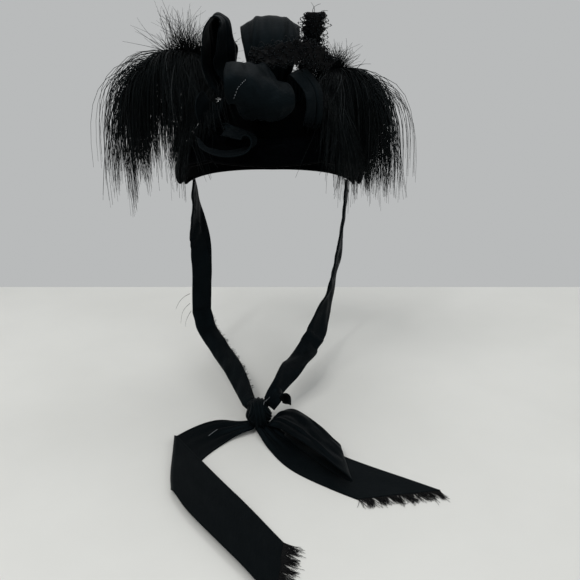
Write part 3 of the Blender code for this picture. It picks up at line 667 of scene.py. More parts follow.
def fold_loop(grid, pleats, pleat_depth, folds, creases, seed):
    """Gathers a loop's ends into pleats and gives it soft folds and creases."""
    spread = np.linspace(-1, 1, grid.shape[1])[None, :]
    run, side = grid_measures(grid)
    share = run / run.max()
    pinch = np.exp(-(share / 0.13) ** 2) + np.exp(-((1 - share) / 0.13) ** 2)
    body = 1 - np.clip(pinch, 0, 1)
    relief = pleat_depth * np.cos(math.pi * pleats * spread) * np.clip(pinch * 1.5, 0, 1)
    relief = relief + folds * waves(side, run, seed, 15) * (0.3 + body)
    for place, depth, width in creases:
        bend = place + 0.06 * np.sin(4 * share * math.pi + seed)
        relief = relief + depth * np.exp(-((spread - bend) * RIBBON_WIDTH / 2 / width) ** 2) * body
    hold = np.minimum(smoothstep(0, 0.05, share), smoothstep(1, 0.95, share))
    return grid + grid_normals(grid) * (relief * (0.15 + 0.85 * hold))[..., None]


def make_bow():
    """The bow: each loop is a piece of ribbon of its own, pinched where it is sewn down."""
    grids = {}
    for seed, (name, rows) in enumerate(BOW_LOOPS.items()):
        grid = fold_loop(bow_grid(rows), *LOOP_FOLDS[name], seed + 20)
        piece = cloth_piece("silk_" + name, grid, [name])
        grids[name] = grid
    return grids


# The beaded lace over the bow, in rows of the same kind
BEAD_PIECES = {
    "bead_crescent": (
        (-9, 0.179, 1.120, 0.20, 0, 60, 0.00),
        (3, 0.193, 1.140, 0.34, 0, 60, 0.05),
        (17, 0.180, 1.19, 0.44, 0, 60, 0.08),
        (30, 0.175, 1.14, 0.42, 0, 50, 0.06),
        (47, 0.190, 0.96, 0.28, 0, 40, 0.04),
    ),
    "bead_spray": (
        (52, 0.105, 0.03, 0.30, 0, 0, 0.00),
        (43, 0.105, 0.70, 0.38, 0, 0, 0.03),
        (35.5, 0.112, 1.30, 0.44, 0, 6, 0.05),
        (31, 0.120, 1.76, 0.40, 0, 18, 0.05),
    ),
}


PICOT_RADIUS = 0.16
STITCH_RADIUS = 0.20


def picots(grid, step, reach, draw):
    """Small arcs of thread along both edges of a strip of lace, as paths of points."""
    paths = []
    t = np.linspace(0, 1, 7)[:, None]
    for edge, inside in ((grid[:, 0], grid[:, 2]), (grid[:, -1], grid[:, -3])):
        run = arc_lengths(edge)
        for begin in np.arange(0, run[-1] - step, step):
            ends = [np.array([np.interp(at, run, edge[:, k]) for k in range(3)])
                    for at in (begin, begin + step * draw.uniform(0.9, 1.3))]
            row = min(int(np.searchsorted(run, begin)), len(edge) - 1)
            out = unit(edge[row] - inside[row]) * reach * draw.uniform(0.5, 1.5)
            out = out + draw.normal(0, 0.5, 3)
            paths.append(ends[0] * (1 - t) + ends[1] * t + out * np.sin(math.pi * t))
    return np.array(paths)


def make_lace(name, rows, bead_count, seed):
    """Black net sewn thick with tiny beads, with beaded arcs of thread along its edges."""
    draw = np.random.default_rng(seed)
    grid = bow_grid(rows, 15, 1.3)
    run, side = grid_measures(grid)
    normal = grid_normals(grid)
    grid = grid + normal * (0.8 * waves(side, run, seed, 7, 0.8))[..., None]
    ragged = 1 - 0.30 * (0.5 + 0.5 * np.sin(run * 0.9 + 1.6 * np.sin(run * 0.37)))
    middle = grid[:, 7:8]
    grid = middle + (grid - middle) * ragged[..., None]
    net = cloth_piece("net_" + name, grid, [name], BLACK_THREAD, 0.7)
    count_rows, count_columns = grid.shape[:2]
    toward = 1 if normal[..., 1].mean() < 0 else -1
    rows_at = draw.uniform(0, count_rows - 1.01, bead_count).astype(int)
    columns_at = draw.uniform(0, count_columns - 1.01, bead_count).astype(int)
    scroll = 0.5 + 0.5 * np.sin(run[rows_at, columns_at] * 0.9 + side[rows_at, columns_at] * 0.8)
    keep = draw.uniform(0, 1, bead_count) < 0.25 + 0.75 * scroll
    rows_at, columns_at = rows_at[keep], columns_at[keep]
    sizes = draw.uniform(0.42, 0.82, len(rows_at))
    away = toward * draw.choice([-1, 1], len(rows_at), p=[0.25, 0.75])
    places = (grid[rows_at, columns_at] + draw.normal(0, 0.35, (len(rows_at), 3))
              + normal[rows_at, columns_at] * (away * (0.35 + sizes * 0.8))[:, None])
    arcs = np.concatenate([picots(grid, 2.6, 1.8, draw), picots(grid, 6.5, 3.8, draw)])
    strung = arcs[:, 1:-1].reshape(-1, 3)
    bead_points, bead_faces = beads(np.concatenate([places, strung]), np.concatenate(
        [sizes, draw.uniform(0.32, 0.55, len(strung))]))
    jet = make_piece("jet_" + name, bead_points, [bead_faces], BEAD_FINISH)
    points, groups = tubes(arcs, np.full(arcs.shape[1], PICOT_RADIUS), 3, seed)
    threads = make_piece("ends_" + name, points, groups, BLACK_THREAD)


def make_laces():
    """The crescent of beaded lace across the bow, and the spray that stands beside it."""
    make_lace("bead_crescent", BEAD_PIECES["bead_crescent"], 800, 31)
    make_lace("bead_spray", BEAD_PIECES["bead_spray"], 780, 32)


# The ties, from the rim's two sides to the knot. Each row gives side and forward from the rim
# to the knot and the drop, all as shares of those distances, then width as a share of
# RIBBON_WIDTH, yaw, pitch and cup.
TIE_ROWS = {
    "tie_left": (
        (0.00, 0.00, 0.00, 0.90, 84, 0, 0.00),
        (0.03, 0.02, 0.22, 0.72, 106, 0, 0.03),
        (0.07, 0.02, 0.44, 0.54, 150, 0, 0.05),
        (0.06, 0.06, 0.84, 0.52, 152, -2, 0.05),
        (0.38, 0.31, 0.94, 0.47, 162, -17, 0.05),
        (0.72, 0.64, 0.97, 0.44, 172, -15, 0.04),
        (1.00, 1.00, 1.00, 0.40, 190, -20, 0.00),
    ),
    "tie_right": (
        (0.00, 0.00, 0.00, 0.90, 96, 0, 0.00),
        (0.03, 0.02, 0.22, 0.76, 98, 0, 0.03),
        (0.09, 0.02, 0.46, 0.60, 112, 0, 0.05),
        (0.25, 0.14, 0.73, 0.54, 118, -20, 0.05),
        (0.48, 0.43, 0.88, 0.50, 128, -4, 0.05),
        (0.76, 0.77, 0.92, 0.47, 131, -3, 0.04),
        (1.00, 1.00, 1.00, 0.29, 138, -6, 0.00),
    ),
}
TIE_TURN = 106.0
TIE_WAY = (0.62, 0.50, 0.60)
TIE_TUCK = 7.0
TOP_TUCK = 3.0
FOOT_SHARE = 0.76
CROSS_FOLD = 1.6
TIE_CROSS_FOLDS = {"tie_left": 0.47, "tie_right": 0.62}


KNOT_HALVES = np.array([KNOT_WIDTH, KNOT_WIDTH, KNOT_HEIGHT]) / 2


def knot_centre():
    """The middle of the knot, which lies on the surface below."""
    return np.array([KNOT_SIDE, -KNOT_FORWARD, -REST_DROP + KNOT_HEIGHT / 2])


def tie_rows(side, rows):
    """Gives the fine rows of one tie from its table, for the side -1 or 1."""
    top = crown_point(side * TIE_TURN, rim_drop(TIE_TURN) + 2 * SEAM_GAP, CROWN_WALL / 2)
    away = unit([side * TIE_WAY[0], TIE_WAY[1], TIE_WAY[2]])
    foot = knot_centre() + away * KNOT_HALVES + away * (SEAM_GAP + SOLID_CLOTH)
    key = [[*(top + (foot - top) * (across, forward, drop)), width * RIBBON_WIDTH, yaw, pitch, cup]
           for across, forward, drop, width, yaw, pitch, cup in rows]
    key[-1][3] *= FOOT_SHARE
    rows = ease(key, round(path_length(key) / STEP))
    head, tail = np.zeros(rows.shape[1]), np.zeros(rows.shape[1])
    head[2] = TOP_TUCK
    tail[:3] = -away * TIE_TUCK
    tail[3] = -rows[-1, 3] * (1 - FOOT_SHARE)
    return np.concatenate([[rows[0] + head, rows[0] + head / 2], rows,
                           [rows[-1] + tail / 2, rows[-1] + tail]])


def folded_grid(rows, seed, way, crosswise=None):
    """A ribbon folded lengthwise: the hidden layer lies behind the shown one."""
    flat = ribbon_grid(3, rows)
    middle = flat[:, 1]
    across = unit(flat[:, 2] - flat[:, 0])
    along = unit(np.gradient(middle, axis=0))
    behind = unit(np.cross(across, along)) * way
    shown = rows[:, 3]
    cut = np.minimum(RIBBON_WIDTH, 1.94 * shown)[:, None]
    place = np.linspace(0, 1, CELLS_ACROSS + 1)[None, :] * cut
    shown = shown[:, None]
    back = np.maximum(place - shown, 0)
    side = np.where(place < shown, place, shown - back) - shown / 2
    depth = 1.7 * smoothstep(-1.4, 1.4, place - shown)
    run = arc_lengths(middle)
    run = run[:, None] + 0 * place
    share = run / run.max()
    ripple = waves(side, run, seed, 13, 0.35) * 1.0 + waves(side, run, seed + 1, 46, 1.3) * 1.3
    if crosswise is not None:
        at = crosswise + 0.012 * side / RIBBON_WIDTH
        ripple = ripple - CROSS_FOLD * np.exp(-((share - at) / 0.011) ** 2)
        ripple = ripple + CROSS_FOLD * np.exp(-((share - at - 0.03) / 0.014) ** 2)
    ripple = ripple * np.minimum(smoothstep(0, 0.06, share), smoothstep(1, 0.93, share))
    grid = (middle[:, None] + across[:, None] * side[..., None]
            + behind[:, None] * (depth + ripple)[..., None])
    return grid, (run, place - cut / 2)


def make_ties():
    """The two ties, each a ribbon folded lengthwise to about half its width."""
    made = {}
    for side, (name, rows) in zip((-1, 1), TIE_ROWS.items()):
        grid, measures = folded_grid(tie_rows(side, rows), 40 + side, -side, TIE_CROSS_FOLDS[name])
        piece = cloth_piece("silk_" + name, grid, [name], measures=measures)
        made[name] = (piece, grid)
    return made


# The knot and what comes out of it


def knot_reach(angle):
    """Half the knot's width at an angle in radians, less in the grooves between its wraps."""
    return KNOT_WIDTH / 2 * (1 - KNOT_GROOVE * (1 - math.cos(3 * angle)) / 2)


def knot_side(heading, rise=0.0):
    """A place just off the knot's side, at a heading from +X and a rise in degrees."""
    turn, rise = math.radians(heading), math.radians(rise)
    away = np.array([math.cos(turn) * math.cos(rise), math.sin(turn) * math.cos(rise),
                     math.sin(rise)])
    reach = np.array([knot_reach(turn), knot_reach(turn), KNOT_HEIGHT / 2])
    return knot_centre() + away * reach + away * SEAM_GAP


def make_knot():
    """The knot: a folded core with crumpled bands of ribbon wound over it."""
    rings, around = 40, 56
    rise = np.radians(np.linspace(-84, 84, rings))[:, None]
    angle = (2 * math.pi * np.arange(around) / around)[None, :]
    folds = 0.05 * np.cos(5 * angle + 3 * rise) + 0.03 * np.cos(9 * angle - 4 * rise)
    reach = KNOT_WIDTH / 2 * (0.90 + folds)
    tall = KNOT_HEIGHT / 2 * (0.92 + folds * 0.5)
    points = knot_centre() + np.stack([np.cos(angle) * np.cos(rise) * reach,
                                       np.sin(angle) * np.cos(rise) * reach,
                                       np.sin(rise) * tall], -1)
    index = np.arange(rings * around).reshape(rings, around)
    quads = wrapped_faces(index)
    ends = [points[0].mean(0), points[-1].mean(0)]
    low, high = rings * around, rings * around + 1
    first, last = index[0], index[-1]
    tips = np.concatenate([np.stack([np.roll(first, -1), first, 0 * first + low], -1),
                           np.stack([last, np.roll(last, -1), 0 * last + high], -1)])
    field = np.stack([angle * 12 + 0 * rise, rise * 13 + 0 * angle, 0 * rise + 0 * angle], -1)
    field = np.concatenate([field.reshape(-1, 3), np.zeros((2, 3))])
    core = make_piece("silk_knot_core", np.concatenate([points.reshape(-1, 3), ends]),
                      [quads, tips], SILK_FINISH, ["knot"], cloth=field)
    bands = []
    for name, pole, lateral, wide, begin, end, lift in KNOT_BANDS:
        bands.append(knot_band(name, unit(pole), lateral, wide, begin, end, lift))
    return [core, *bands]


# The bands wound over the knot: the axis that each turns about, its tilt off the middle and
# its width in degrees, the turns where it starts and ends, and its lift as a share
KNOT_BANDS = (
    # name, pole, lateral, wide, begin, end, lift
    ("silk_knot_front", (1.0, 0.10, 0.12), 8, 46, -60, 215, 1.13),
    ("silk_knot_left", (0.85, 0.30, -0.55), -44, 42, -30, 190, 1.08),
    ("silk_knot_right", (0.80, 0.10, 0.62), 46, 38, -70, 150, 1.06),
)


def knot_band(name, pole, lateral, wide, begin, end, lift):
    """A crumpled band of ribbon round the knot."""
    front = unit(np.array([0.0, -1.0, 0.0]) - pole * pole[1] * -1.0)
    front = unit(front - pole * (front @ pole))
    up = np.cross(pole, front)
    if up[2] < 0:
        up = -up
    turn = np.radians(np.linspace(begin, end, 90))[:, None]
    spread = np.linspace(-1, 1, 25)[None, :]
    tilt = np.radians(lateral + spread * wide / 2)
    ridge = 0.045 * np.cos(3.2 * math.pi * spread + 0.8 * np.sin(2 * turn)) - 0.05 * spread ** 2
    share = (turn - turn[0]) / (turn[-1] - turn[0])
    fall = smoothstep(0, 0.12, share) * smoothstep(1, 0.88, share)
    reach = (0.90 + (lift - 0.90 + ridge) * fall)[..., None]
    way = ((np.cos(turn) * np.cos(tilt))[..., None] * front
           + (np.sin(turn) * np.cos(tilt))[..., None] * up + np.sin(tilt)[..., None] * pole)
    grid = knot_centre() + way * reach * KNOT_HALVES
    grid[..., 2] = np.maximum(grid[..., 2], -REST_DROP + 0.6)
    return cloth_piece(name, grid)


# The small ear of ribbon beside the knot: side, forward and up in shares of KNOT_WIDTH
KNOT_EAR = (
    # side, forward, up, width, yaw
    (0.00, 0.00, 0.00, 0.22, 40),
    (0.12, -0.04, 0.26, 0.30, 36),
    (0.30, -0.08, 0.52, 0.32, 34),
    (0.52, -0.06, 0.46, 0.32, 40),
    (0.60, 0.00, 0.14, 0.28, 50),
)
EAR_HEADING = 6.0
EAR_RISE = 28.0


def make_knot_ear():
    """The small ear of ribbon that stands beside the knot."""
    foot = knot_side(EAR_HEADING, EAR_RISE)
    key = [[*(foot + KNOT_WIDTH * np.array([side, -forward, up])), width * RIBBON_WIDTH, yaw, 0, 0]
           for side, forward, up, width, yaw in KNOT_EAR]
    grid = ribbon_grid(17, ease(key, 30))
    run, side = grid_measures(grid)
    grid = grid + grid_normals(grid) * (0.35 * waves(side, run, 51, 8))[..., None]
    piece = cloth_piece("silk_knot_ear", grid, ["knot_ear"])


# The tails. Each row is a place along the middle of the ribbon from its root at the knot, as
# shares of the tail's reach, and the ribbon's width there as a share of RIBBON_WIDTH.
LEFT_TAIL = (
    # side, forward, width
    (0.00, 0.00, 0.36),
    (-0.33, 0.10, 0.68),
    (-0.62, 0.35, 0.90),
    (-0.80, 0.68, 0.92),
    (-1.20, 1.52, 0.88),
    (-1.66, 2.40, 0.86),
)
RIGHT_TAIL = (
    (0.00, 0.00, 0.42),
    (0.12, 0.14, 0.72),
    (0.26, 0.29, 0.96),
    (0.46, 0.44, 1.00),
    (0.72, 0.60, 1.00),
)
LEFT_HEADING = 218.0
RIGHT_HEADING = 305.0
LEFT_SLANT = 0.80
RIGHT_SLANT = 1.18
FOLD_HEADING = 96.0
FOLD_RADIUS = 3.2
FRINGE_LENGTH = 11.0
FRINGE_HEAD = 3.0
SETTLE_START = 1.1
ROOT_RAMP = 0.4
EDGE_LIFT = 0.20
EDGE_REACH = 1.25
PATH_POINTS = 40
CORNER_SIZE = 17.0
CORNER_PULL = 0.13


def along_path(points, places):
    """Reads places by arc length off a path, running straight on past its end."""
    lengths = arc_lengths(points)
    last = unit(points[-1] - points[-2])
    inside = np.stack([np.interp(places, lengths, points[:, k]) for k in range(2)], axis=-1)
    return inside + np.maximum(places - lengths[-1], 0)[..., None] * last, lengths


def lay_tail(rows, reach, heading, slant, fold=None):
    """Lays a ribbon flat from the knot: gives plan points, and their distances from the root.

    The rows of points run along the crease of a fold, where there is one.
    """
    root = knot_side(heading, KNOT_SEAT_RISE)[:2]
    smooth = ease(rows, PATH_POINTS)
    path = root + smooth[:, :2] * [reach, -reach]
    _, lengths = along_path(path, np.zeros(1))
    spread = np.linspace(-1, 1, CELLS_ACROSS + 1)
    half = RIBBON_WIDTH / 2
    ends = lengths[-1] + slant * spread * half
    if fold is None:
        places = np.linspace(0, 1, round(lengths[-1] / STEP))[:, None] * ends[None, :]
    else:
        crease, outward = fold
        ahead, _ = along_path(path, np.array([reach + 1, reach - 1]))
        forward = unit(ahead[0] - ahead[1])
        lean = forward @ outward
        skew = -(np.array([-forward[1], forward[0]]) @ outward) / lean
        start = reach + skew * spread * half * np.interp(reach, lengths, smooth[:, 2])
        rolled = math.pi * FOLD_RADIUS / lean
        first = np.linspace(0, 1, round(reach / STEP))[:-1, None] * start
        middle = start + np.linspace(0, 1, 12)[:, None] * rolled
        rest = ends - start - rolled
        last = start + rolled + np.linspace(0, 1, round((lengths[-1] - reach) / STEP))[1:, None] * rest
        places = np.concatenate([first, middle, last])
    centre, _ = along_path(path, places)
    ahead, _ = along_path(path, places + 1)
    behind, _ = along_path(path, np.maximum(places - 1, 0))
    forward = unit(ahead - behind)
    across = np.stack([-forward[..., 1], forward[..., 0]], axis=-1)
    width = np.interp(places, lengths, smooth[:, 2]) * half
    return centre + across * (spread * width)[..., None], places


def left_fold():
    """The left tail's crease: a point on it, and the way out over it."""
    root = knot_side(LEFT_HEADING, KNOT_SEAT_RISE)[:2]
    path = root + ease(LEFT_TAIL, PATH_POINTS)[:, :2] * [LEFT_REACH, -LEFT_REACH]
    crease, _ = along_path(path, np.array([LEFT_REACH]))
    turn = math.radians(FOLD_HEADING)
    return crease[0], np.array([-math.sin(turn), math.cos(turn)])


def fold_over(plan, low, fold):
    """Rolls the plan over a crease and lays the rest on top, and gives it heights."""
    crease, outward = fold
    past = (plan - crease) @ outward
    rolled = math.pi * FOLD_RADIUS
    angle = np.clip(past, 0, rolled) / FOLD_RADIUS
    back = np.maximum(past - rolled, 0)
    shift = np.where(past > 0, FOLD_RADIUS * np.sin(angle) - past - back, 0)
    rise = FOLD_RADIUS * (1 - np.cos(angle))
    rise *= 1 - smoothstep(SETTLE_START * RIBBON_WIDTH, (SETTLE_START + 1) * RIBBON_WIDTH, back)
    return np.concatenate([plan + shift[..., None] * outward, (low + rise)[..., None]], axis=-1)


def root_rise(places):
    """How far a tail's root rises into the knot."""
    rise = (KNOT_HEIGHT / 2 + math.sin(math.radians(KNOT_SEAT_RISE)) * KNOT_HEIGHT / 2
            - SOLID_CLOTH / 2)
    return rise * np.exp(-(places / (ROOT_RAMP * RIBBON_WIDTH)) ** 2)


def edge_lift(places):
    """How far the left tail's far edge stands up between its root and the crease."""
    far = (1 - np.linspace(-1, 1, places.shape[1])) / 2
    reach = EDGE_REACH * RIBBON_WIDTH
    start = (1 - np.exp(-(places / (ROOT_RAMP * RIBBON_WIDTH)) ** 2)) ** 2
    return EDGE_LIFT * RIBBON_WIDTH * far ** 2 * start * np.exp(-(places / reach) ** 2)


def surface_level():
    """The height of the middle of a ribbon that lies on the surface below."""
    return -REST_DROP + SILK / 2 + 0.1


def tail_relief(plan, places, seed, slope):
    """Soft folds of a lying ribbon, and the raised half where it is doubled near its root."""
    spread = np.linspace(-1, 1, plan.shape[1])[None, :]
    side = spread * RIBBON_WIDTH / 2
    folds = 0.5 + 0.5 * waves(side, places, seed, 22, 0.25)
    near = np.exp(-(places / slope) ** 2)
    pleats = 0.5 + 0.5 * np.cos(math.pi * 3.2 * spread + 0.4)
    return 0.8 * folds * (0.35 + near) + 2.4 * pleats * near


def round_corner(grid):
    """Draws in the sharp corner where the crease meets the tail's outer edge."""
    middle = grid[:, grid.shape[1] // 2, :2]
    flat = grid[..., :2].reshape(-1, 2)
    corner = flat[np.argmin(flat @ [1.0, 0.6])]
    inner = middle[np.argmin(np.linalg.norm(middle - corner, axis=1))]
    near = np.exp(-(np.linalg.norm(grid[..., :2] - corner, axis=-1) / CORNER_SIZE) ** 2)
    grid = grid.copy()
    grid[..., :2] += (inner - corner) * (near * CORNER_PULL)[..., None]
    return grid


def run_into_knot(grid):
    """Lets a tail run on from its root into the knot."""
    first = grid[0]
    middle = first.mean(0)
    way = np.append(unit((knot_centre() - middle)[:2]), 0.0)
    rows = [middle + (first - middle) * (1 - 0.08 * step) + way * 2.0 * step for step in (4, 3, 2, 1)]
    return np.concatenate([np.array(rows), grid])


def make_tails():
    """The two tails: the left one folds over itself, and the right one lies straight."""
    fold = left_fold()
    plan, places = lay_tail(LEFT_TAIL, LEFT_REACH, LEFT_HEADING, LEFT_SLANT, fold)
    left = fold_over(plan, surface_level(), fold)
    left[..., 2] += root_rise(places) + edge_lift(places)
    left[..., 2] += tail_relief(plan, places, 61, 34)
    left = run_into_knot(round_corner(left))
    left_piece = cloth_piece("silk_tail_left", left, ["tail_left"])
    plan, places = lay_tail(RIGHT_TAIL, RIGHT_REACH, RIGHT_HEADING, RIGHT_SLANT)
    heights = surface_level() + root_rise(places) + tail_relief(plan, places, 62, 30)
    right = run_into_knot(np.concatenate([plan, heights[..., None]], axis=-1))
    right_piece = cloth_piece("silk_tail_right", right, ["tail_right"])
    return left_piece, left, right_piece, right


# The half bow beside the right tail: out from the knot, over its squared end and back below.
# Side and forward are shares of RIGHT_REACH, up is a share of KNOT_HEIGHT.
HALF_LOOP = (
    # side, forward, up, width, yaw
    (0.00, 0.00, 0.34, 0.40, 112),
    (0.07, 0.00, 0.46, 0.74, 104),
    (0.19, 0.11, 0.50, 1.00, 94),
    (0.33, 0.30, 0.46, 1.08, 86),
    (0.405, 0.40, 0.40, 1.08, 84),
    (0.415, 0.41, 0.26, 1.08, 84),
    (0.36, 0.34, 0.17, 1.02, 86),
    (0.21, 0.15, 0.16, 0.84, 96),
    (0.10, 0.04, 0.15, 0.50, 106),
)
HALF_LOOP_HEADING = 338.0


def make_half_loop():
    """The half bow: a flattened loop of ribbon that lies over the right tail."""
    foot = knot_side(HALF_LOOP_HEADING, 0)
    foot[2] = -REST_DROP
    key = []
    for side, forward, up, width, yaw in HALF_LOOP:
        place = foot + [side * RIGHT_REACH, -forward * RIGHT_REACH, up * KNOT_HEIGHT]
        key.append([*place, width * RIBBON_WIDTH, yaw, 0, 0])
    grid = ribbon_grid(CELLS_ACROSS + 1, ease(key, 110), square=False)
    run, side = grid_measures(grid)
    share = run / run.max()
    upper = smoothstep(0.56, 0.46, share)
    spread = np.linspace(-1, 1, CELLS_ACROSS + 1)[None, :]
    relief = 1.2 * waves(side, run, 71, 24, 0.5) + 0.5 * waves(side, run, 74, 10, 0.4)
    ridge = 0.15 + 0.9 * share
    relief = relief + 2.2 * np.exp(-((spread - ridge) / 0.12) ** 2) * smoothstep(0.5, 0.3, share)
    relief = relief + 1.2 * np.cos(math.pi * 3 * spread) * np.exp(-(share / 0.12) ** 2)
    relief = relief * (0.25 + 0.75 * upper)
    grid[..., 2] += relief * smoothstep(0, 0.03, share)
    grid[..., 2] = np.maximum(grid[..., 2], -REST_DROP + 2.2)
    piece = cloth_piece("silk_half_loop", grid, ["half_loop"])
    return piece, grid


def fringe_threads(name, grid, node, seed):
    """The frayed end of a tail: loose threads in clumps along the cut edge."""
    edge, back = grid[-1], grid[-1].mean(0) - grid[-6].mean(0)
    draw = np.random.default_rng(seed)
    count = 420
    run = unit(edge[-1] - edge[0])
    out = np.array([run[1], -run[0], 0.0])
    out = out if out @ back > 0 else -out
    place = draw.uniform(0, len(edge) - 1, count)
    start = np.stack([np.interp(place, range(len(edge)), edge[:, k]) for k in range(3)], -1)
    clump = np.round(place / 1.6) * 1.6
    lean = np.sin(clump * 12.9898) * 0.30 + draw.normal(0, 0.16, count)
    way = unit(out * 0.72 + unit(back) * 0.45 + run * lean[:, None])
    size = (FRINGE_HEAD + FRINGE_LENGTH) * draw.uniform(0.35, 1.0, count) ** 0.8
    t = np.linspace(0, 1, 8)[None, :, None]
    pull = (np.interp(clump, range(len(edge)), edge[:, 0]) - start[:, 0])[:, None, None] * run
    curl = draw.normal(0, 1.0, (count, 1, 3)) * t ** 2 * 1.6
    paths = start[:, None] - way[:, None] * 1.2 + way[:, None] * size[:, None, None] * t
    paths = paths + pull * 0.35 * t + curl
    rest = -REST_DROP + 0.35
    lift = np.abs(draw.normal(0, 0.5, (count, 1))) * t[..., 0]
    paths[..., 2] = np.maximum(edge[:, 2].mean() * (1 - t[..., 0]) + rest * t[..., 0] + lift, rest)
    points, groups = tubes(paths, np.linspace(0.26, 0.12, 8), 3, seed)
    return make_piece(name, points, groups, BLACK_THREAD, [node])


def on_grid(grid, shares, lift):
    """Points just above a grid of cloth, at shares of its length and width."""
    rows = np.asarray(shares)[:, 0] * (grid.shape[0] - 1)
    columns = np.asarray(shares)[:, 1] * (grid.shape[1] - 1)
    low, left = rows.astype(int), columns.astype(int)
    up, right = np.minimum(low + 1, grid.shape[0] - 1), np.minimum(left + 1, grid.shape[1] - 1)
    a, b = (rows - low)[:, None], (columns - left)[:, None]
    place = ((grid[low, left] * (1 - b) + grid[low, right] * b) * (1 - a)
             + (grid[up, left] * (1 - b) + grid[up, right] * b) * a)
    return place + grid_normals(grid)[low, left] * lift


def make_stitches(name, grid, first, last, count, fill, lift):
    """A line of running stitches over a cloth, from one place on it to another."""
    first, last = np.array(first), np.array(last)
    paths = []
    for number in range(count):
        t = (number + np.linspace(0, fill, 6)) / count
        paths.append(on_grid(grid, first + (last - first) * t[:, None], lift))
    points, groups = tubes(np.array(paths), np.full(6, STITCH_RADIUS), 4, 7)
    return make_piece(name, points, groups, PALE_THREAD)


def make_hairs(name, rows, radius, finish, seed):
    """Loose threads or barbs: each row has a start, an end and how far it bows aside."""
    draw = np.random.default_rng(seed)
    t = np.linspace(0, 1, 14)[:, None]
    paths = []
    for start, end, bow in rows:
        start, end = np.array(start, float), np.array(end, float)
        aside = unit(np.cross(end - start, [0.0, 1.0, 0.3])) * bow
        wobble = draw.normal(0, 0.25, 3) * np.sin(7 * t)
        paths.append(start * (1 - t) + end * t + aside * np.sin(math.pi * t) + wobble)
    paths = np.array(paths)
    points, groups = tubes(paths, np.linspace(radius, radius * 0.45, 14), 4, seed)
    tone = np.full(len(points), 0.3)
    return make_piece(name, points, groups, finish, tone=tone)


def make_edge_fray(name, grid, column, begin, end, count, seed):
    """Short loose threads along a part of a ribbon's worn edge."""
    draw = np.random.default_rng(seed)
    rows = (draw.uniform(begin, end, count) * (grid.shape[0] - 1)).astype(int)
    start = grid[rows, column]
    out = unit(start - grid[rows, column + (2 if column == 0 else -2)])
    along = unit(grid[np.minimum(rows + 2, grid.shape[0] - 1), column] - start)
    way = unit(out + along * draw.normal(0.3, 0.7, (count, 1)) + draw.normal(0, 0.25, (count, 3)))
    t = np.linspace(0, 1, 6)[None, :, None]
    length = draw.uniform(0.8, 3.2, count)[:, None, None]
    paths = start[:, None] + way[:, None] * length * t
    paths = paths + draw.normal(0, 0.5, (count, 1, 3)) * t ** 2
    points, groups = tubes(paths, np.linspace(0.2, 0.1, 6), 3, seed)
    return make_piece(name, points, groups, BLACK_THREAD)


# Loose barbs over the forehead and loose threads: start and end in mm, and bow
FOREHEAD_BARBS = (
    ((-56, -86, -46), (-46.1, -92, -70.5), 2.0),
    ((-49, -86, -46), (-40.6, -92, -60.5), -1.5),
    ((60, -84, -40), (46.2, -92, -65.5), -3.0),
    ((68, -80, -44), (65.5, -88, -64.0), 2.5),
    ((-62, -84, -44), (-57, -90, -66), 1.5),
)
SPRAY_CURL = (
    ((40, -62, 56), (45, -62, 66), 4.0),
    ((38, -62, 56), (37, -62, 67), -2.5),
    ((43, -60, 54), (51, -60, 61), 3.0),
)
KNOT_THREAD = (
    ((-3.6, -126.0, -267.5), (2.1, -126.0, -259.6), 1.2),
)
TIE_THREADS = (
    ((-88, 17, -214), (-104, 14, -231), -3.0),
    ((-88, 14, -224), (-99, 12, -247), -3.5),
    ((-87, 12, -232), (-94, 10, -250), -1.5),
)


# The plumes. The quill's path from its foot on the crown is in shares of the plume's reach.
QUILL = (
    # outward, forward, up
    (0.00, 0.00, 0.00),
    (0.04, 0.01, 0.32),
    (0.17, 0.03, 0.62),
    (0.46, 0.05, 0.68),
    (0.76, 0.07, 0.48),
    (0.94, 0.08, 0.16),
)
CREST_SHARE = 0.52
PLUME_CREST = {"plume_left": 1.0, "plume_right": 0.65}
PLUMES = (
    # name, side, turn, drop, reach share, how far it sweeps over the front
    ("plume_left", -1, 78, 0.22, 1.00, 1.00),
    ("plume_right", 1, 72, 0.18, 0.60, 0.40),
)
LOCK_SPREAD = 0.46
SPREAD_POWER = 2.4
LOCK_RISE = 0.10
LOCK_FALL = 0.98
FALL_POWER = 1.7
BARB_POINTS = 9
BARBS_IN_LOCK = 11
# The locks of a plume: how many, where on the quill, the degrees they turn from outward to
# forward, their lengths, how far they reach out and fall, their margin and their two powers
PLUME_LOCKS = (
    # count, places, swings, lengths, spreads, falls, margins, powers
    (168, (0.34, 1.0), (-120, 120), (0.82, 1.20), (0.26, 1.04), (0.94, 1.06), (1.0, 8.0), (2.4, 1.7)),
    (78, (0.24, 0.66), (98, 150), (0.58, 0.90), (1.10, 1.56), (0.60, 1.00), (4.0, 13.0), (1.25, 1.15)),
    (80, (0.14, 0.62), (66, 136), (0.74, 1.14), (0.50, 0.98), (0.84, 1.04), (2.0, 9.0), (1.7, 1.4)),
)


def keep_off(points, margin):
    """Moves points out of the crown and its band, sideways, to a margin from them."""
    half_x, half_y = HEAD_WIDTH / 2 + margin, HEAD_LENGTH / 2 + margin
    height = np.maximum(points[..., 2] + CROWN_DEPTH, 0) / (CROWN_DEPTH + margin)
    room = np.sqrt(np.maximum(1 - height ** 2, 0))
    reach = np.hypot(points[..., 0] / half_x, points[..., 1] / half_y)
    grow = np.where((reach < room) & (reach > 0), room / np.maximum(reach, 1e-6), 1.0)
    out = points.copy()
    out[..., 0] *= grow
    out[..., 1] *= grow
    return out


